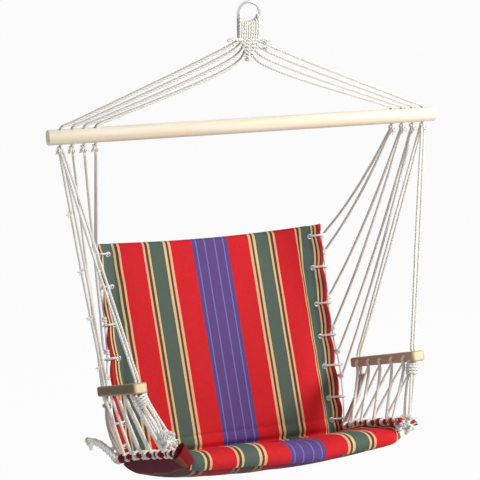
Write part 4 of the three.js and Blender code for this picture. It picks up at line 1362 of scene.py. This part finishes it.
UNDER_TURN_WIDTH = 70 * MM
FRONT_SHIFT = 8 * MM  # the right stripes lie this much further out on the roll
FRONT_SHIFT_HALF = 45 * MM


def drawn_line(points):
    """Even points of a smooth line through listed ones: Y is forward and Z is over the fold line."""
    return smooth_path([mm(0, forward, over) for forward, over in points], LINE_STEP)


def at_share(line, share):
    place = min(len(line) - 1.001, share * (len(line) - 1))
    return line[int(place)].lerp(line[int(place) + 1], place - int(place))


top_middle, top_side, under_middle, under_side, seat_seam = (
    drawn_line(points) for points in (TOP_LINE, TOP_SIDE_LINE, UNDER_LINE, UNDER_SIDE_LINE, SEAM_LINE)
)
for line_name, line in (("over", top_middle), ("under", under_middle)):
    print(line_name, "the seat", round(len(line) * LINE_STEP, 3), "m")


def seat_place(across, along, face):
    side_share = spread(across)
    right_share = max(0, side_share)
    share = along_share(along)
    middle, side = (top_middle, top_side) if face > 0 else (under_middle, under_side)
    full = at_share(side, share).lerp(at_share(middle, share), (1 - side_share * side_share) ** 0.8)
    at_roll = clamp((share - 0.45) / 0.2)
    at_crease = clamp((share - 0.82) / 0.18) ** 2
    dip = math.exp(-(((side_share * ROLL_HALF - DIP_PLACE) / DIP_WIDTH) ** 2)) * MM
    full.z -= dip * at_roll * (lerp(8, 6, at_crease) if face > 0 else 6 * at_crease)
    tilt = -2.5 * side_share if face > 0 else 10 * right_share**2
    full.z += tilt * MM * at_roll * (1 - at_crease)
    lump = noise.noise(Vector((side_share * 4.5, share * 2.5, face)))
    lump += 0.5 * noise.noise(Vector((side_share * 13, share * 6, face)))
    full.z += ROLL_LUMP * lump * math.sin(math.pi * share)
    inset = (1 - abs(side_share)) * SIDE_HALF
    seam = at_share(seat_seam, share)
    seam.z += SEAM_LIFT * right_share * min(1, share / 0.2, (1 - share) / 0.1)
    round_width = lerp(HEM_ROUND, END_ROUND, clamp((full.y - ROLL_START) / ROLL_RISE))
    place = seam.lerp(full, rounded(inset, round_width))
    reach = side_share * (seat_half(place.y) + ROLL_PULL * at_roll * right_share**3)
    cloth_x = reach - cloth_drift(-place.y)
    if face < 0:
        turned = min(1, inset / HEM_ROUND) * max(0, 1 - max(0, inset - HEM_ROUND) / UNDER_TURN_WIDTH)
        cloth_x -= math.copysign(UNDER_TURN * turned, cloth_x)
    # Past the sewn line the tuck moves the hem's place outward; on the seat's left hem that lands in the wine
    # band of painted shade.
    if abs(cloth_x) > HEM_SEWN:
        cloth_x += math.copysign(HEM_TUCK, cloth_x)
    cloth_x += FRONT_SHIFT * clamp((cloth_x + FRONT_SHIFT_HALF) / (2 * FRONT_SHIFT_HALF)) * at_roll
    return (
        seat_point(reach + seat_drift(place.y), place.y, place.z),
        (cloth_x, -share * CLOTH_LENGTH, FRONT_FACE if face > 0 else SEAT_UNDERSIDE),
    )


seat_mesh = cloth_mesh(layered_grid(*SEAT_GRID), seat_place, "seat")
print("padded seat without its sleeves has", len(seat_mesh.polygons), "faces")

# %% [markdown]
# The seat's hem is sewn round the rope along its side, in short sleeves between the ropes of the net. A
# sleeve is a sphere drawn out along the rope. At the front corners the hem ends in a flattened tube that
# opens to its mouth. All of them are joined to the seat's mesh.

# %% Seat cushion with its sleeves
SLEEVE = 9 * MM
SLEEVE_SPANS = [(-0.07, 0.115), (0.145, 0.23), (0.305, 0.38), (0.41, 0.44), (0.465, 0.545), (0.575, 0.635)]
SLEEVE_SPANS += [(0.665, 0.735), (0.765, 0.815), (0.845, 0.905), (0.935, 1.0)]  # shares of the seat's depth
FIRST_STARTS = {-1: -0.07, 1: 0.01}  # only the left sleeve runs on past the rear, over the free tail's root
# This place lies in the wine band of painted shade.
LEFT_SHADE_STRIPE = 325  # mm from the pattern's middle
RIGHT_STRIPE = 289
FLAP_WALL = 1.6 * MM


def sleeve_mesh(side, start, end):
    """Hem turned round the seat's side rope, between two of the net's ropes."""
    size = SLEEVE * (1.4 if start < 0 else 0.9 + 0.16 * math.sin(40 * start))

    def place(x, y, z):
        wide = math.hypot(x, y)
        swell = wide**0.45 / max(1e-6, wide)
        pleat = 1 + 0.09 * math.sin(9 * z + 200 * start) * wide
        forward = lerp(start, end, (z + 1) / 2) * SEAT_DEPTH
        reach = swell * pleat * size
        # Painted shade: the left sleeves all take the wine band, while the right ones show the hem's stripes.
        stripe = LEFT_SHADE_STRIPE if side < 0 else RIGHT_STRIPE + 16 * z
        return edge_point(side, forward, EDGE_OUT + x * reach, y * reach), (side * stripe * MM, -forward, 0)

    form = bmesh.new()
    bmesh.ops.create_uvsphere(form, u_segments=20, v_segments=14, radius=1)
    return cloth_mesh(form, place, "sleeve")


def flap_mesh(closed_end, mouth, wide, thick, stripe):
    """Open end of the hem's sleeve. Stripe gives the place on the flat cloth, in mm, from the tube's side."""
    along = (mouth - closed_end).normalized()
    across = along.cross(REARWARD).normalized()
    facing = across.cross(along)

    def place(x, y, z):
        turn = math.pi * x
        share = (y + 1) / 2
        near = 0.5 + 0.5 * math.cos(turn + 0.4)
        reach = share * (1 - 0.3 * near)
        swell = lerp(0.62, 1, reach**0.7) * (1 + 0.05 * math.sin(3 * turn + 2))
        around = across * wide * swell * math.cos(turn) + facing * thick * swell * math.sin(turn)
        return closed_end.lerp(mouth, reach) + around, (stripe(math.cos(turn)) * MM, share * 0.04, 0)

    form = bmesh.new()
    bmesh.ops.create_grid(form, x_segments=28, y_segments=10, size=1)
    lay_cloth(form, place)
    bmesh.ops.remove_doubles(form, verts=form.verts, dist=1e-6)
    bmesh.ops.recalc_face_normals(form, faces=form.faces)
    bmesh.ops.solidify(form, geom=form.faces[:], thickness=FLAP_WALL)
    tidy_form(form)
    return form_to_mesh(form, "flap")


left_ends = mm(-243, -288, -975), mm(-276, -292, -931)
right_ends = mm(288, -282, -952), mm(312, -284, -944)
hem_parts = [
    # Painted shade: the left flap takes the wine band, and the dark stripe at 288.5 mm on its lower left
    # wall.
    flap_mesh(*left_ends, 22 * MM, 9 * MM, lambda outward: LEFT_SHADE_STRIPE if outward < 0.25 else 288.5),
    flap_mesh(*right_ends, 9 * MM, 7 * MM, lambda outward: 286 + 9 * outward),
]
for side, first in FIRST_STARTS.items():
    hem_parts += [sleeve_mesh(side, max(start, first), end) for start, end in SLEEVE_SPANS]
seat_mesh = joined([seat_mesh, *hem_parts], "seat")
seat = subdivided(add_piece("seat_pad", seat_mesh, "chair", "seat_cushion", canvas))

# %% [markdown]
# A cord runs down each hem of the back, and another goes round the hem and that cord through every eyelet.
# An eyelet is a pressed ring of pale metal on each face.

# %% Lacing and eyelets
EYELET_INSETS = {-1: 19 * MM, 1: 26 * MM}
HEM_LOOP_INSETS = {-1: [16, 13, 9, 5, 1], 1: [22, 18, 13, 7, 1]}  # mm in from the edge, along the curled hem
EYELET_MID = 5.2 * MM
EYELET_WIRE = 2.8 * MM


def on_hem(side, drop, inset, over=0.0, lift=0.0):
    """A point in from the pinched hem, in front of its curled middle, and lifted along it."""
    up = BACK_LENGTH - drop * MM
    return back_point(side * (back_half(up) - PINCH - inset), up + lift, hem_curl(inset) + over)


def cord_point(side, drop, out=0.0, over=0.0):
    up = BACK_LENGTH - drop * MM
    return back_point(side * (lace_x(up) + out), up, HEM_CORD_FRONT + over)


def hem_loop(side, drop):
    """From the eyelet over the front of the hem, round the cord and back behind it."""
    clear = HEM_HALF + LACE / 2 + 0.4 * MM
    front, rear = (
        [on_hem(side, drop, inset * MM, face * clear, face * 1.5 * MM) for inset in HEM_LOOP_INSETS[side]]
        for face in (1, -1)
    )
    turn = cord_point(side, drop, (HEM_CORD + LACE) / 2, 2 * MM)
    return [on_hem(side, drop, EYELET_INSETS[side]), *front, turn, *reversed(rear)]


def eyelet_ring(side, drop, face):
    form = ring_form((0, 0, 0), EYELET_MID, EYELET_WIRE, 28, 8, 0.6)
    turn = Matrix((OUTWARD, FRONT_OF_BACK, UP_BACK)).transposed().to_4x4()
    place = on_hem(side, drop, EYELET_INSETS[side], face * (HEM_HALF + 0.8 * MM))
    bmesh.ops.transform(form, matrix=Matrix.Translation(place) @ turn, verts=form.verts)
    return form_to_mesh(form, "eyelet")


for side_name, side in SIDES.items():
    cord = rope_form([[cord_point(side, drop) for drop in (26, *EYELET_DROPS, 508)]], HEM_CORD)
    around = rope_form([hem_loop(side, drop) for drop in EYELET_DROPS], LACE, closed=True)
    lacing = joined([cord, around], "lacing")
    add_piece(f"{side_name}_hem_lacing", lacing, "back", f"{side_name}_back_lacing")
    rings = [eyelet_ring(side, drop, face) for drop in EYELET_DROPS for face in (-1, 1)]
    add_piece(f"{side_name}_eyelets", joined(rings, "eyelets"), "back", finish=steel)

# %% [markdown]
# The rope along each side of the seat ends in a big knot at the front corner, where the armrest's front
# ropes come down. Loose yarns stand up out of the knot and to its inner side.

# %% Seat's side ropes and corner knots
CORNER_KNOT = 40 * MM
YARN_LENGTHS = {-1: 30 * MM, 1: 27 * MM}

for side_name, side in SIDES.items():
    centre = CORNER_KNOT_PLACES[side]
    points = [edge_point(side, share * SEAT_DEPTH) for share in (0.04, 0.25, 0.5, 0.75, 0.93)]
    rope = rope_form([points + [centre]], EDGE_ROPE)
    add_piece(f"{side_name}_side_rope", rope, "chair", f"{side_name}_seat_edge_rope")
    up_yarns = fray_routes(centre, (-side * 0.3, 0.1, 1), YARN_LENGTHS[side], 19 * MM, 60, 0.1)
    side_yarns = fray_routes(centre, (-side, 0.1, 0.5), YARN_LENGTHS[side], 14 * MM, 40, 0.4)
    corner_yarns = rope_form(up_yarns + side_yarns, YARN, YARN_LAY)
    add_piece(f"{side_name}_corner_yarns", corner_yarns, "chair", finish=light_shade_cotton)
    turns = [knot_route(centre, CORNER_KNOT, axis, EDGE_ROPE) for axis in (UPWARD, Vector((1, 0.4, 0)))]
    knot = rope_form(turns, EDGE_ROPE, closed=True)
    add_piece(f"{side_name}_corner_knot", knot, "chair", f"{side_name}_front_corner_knot")

# %% [markdown]
# The last cell writes down how far the solids reach and how far the dressed chair does. The two boxes differ
# by a few millimetres, because of the soft padding.

# %% Sizes
dressed_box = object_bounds()
for solid, dressed in zip(solid_box, dressed_box):
    print("solid", [round(v, 3) for v in solid], "dressed", [round(v, 3) for v in dressed])
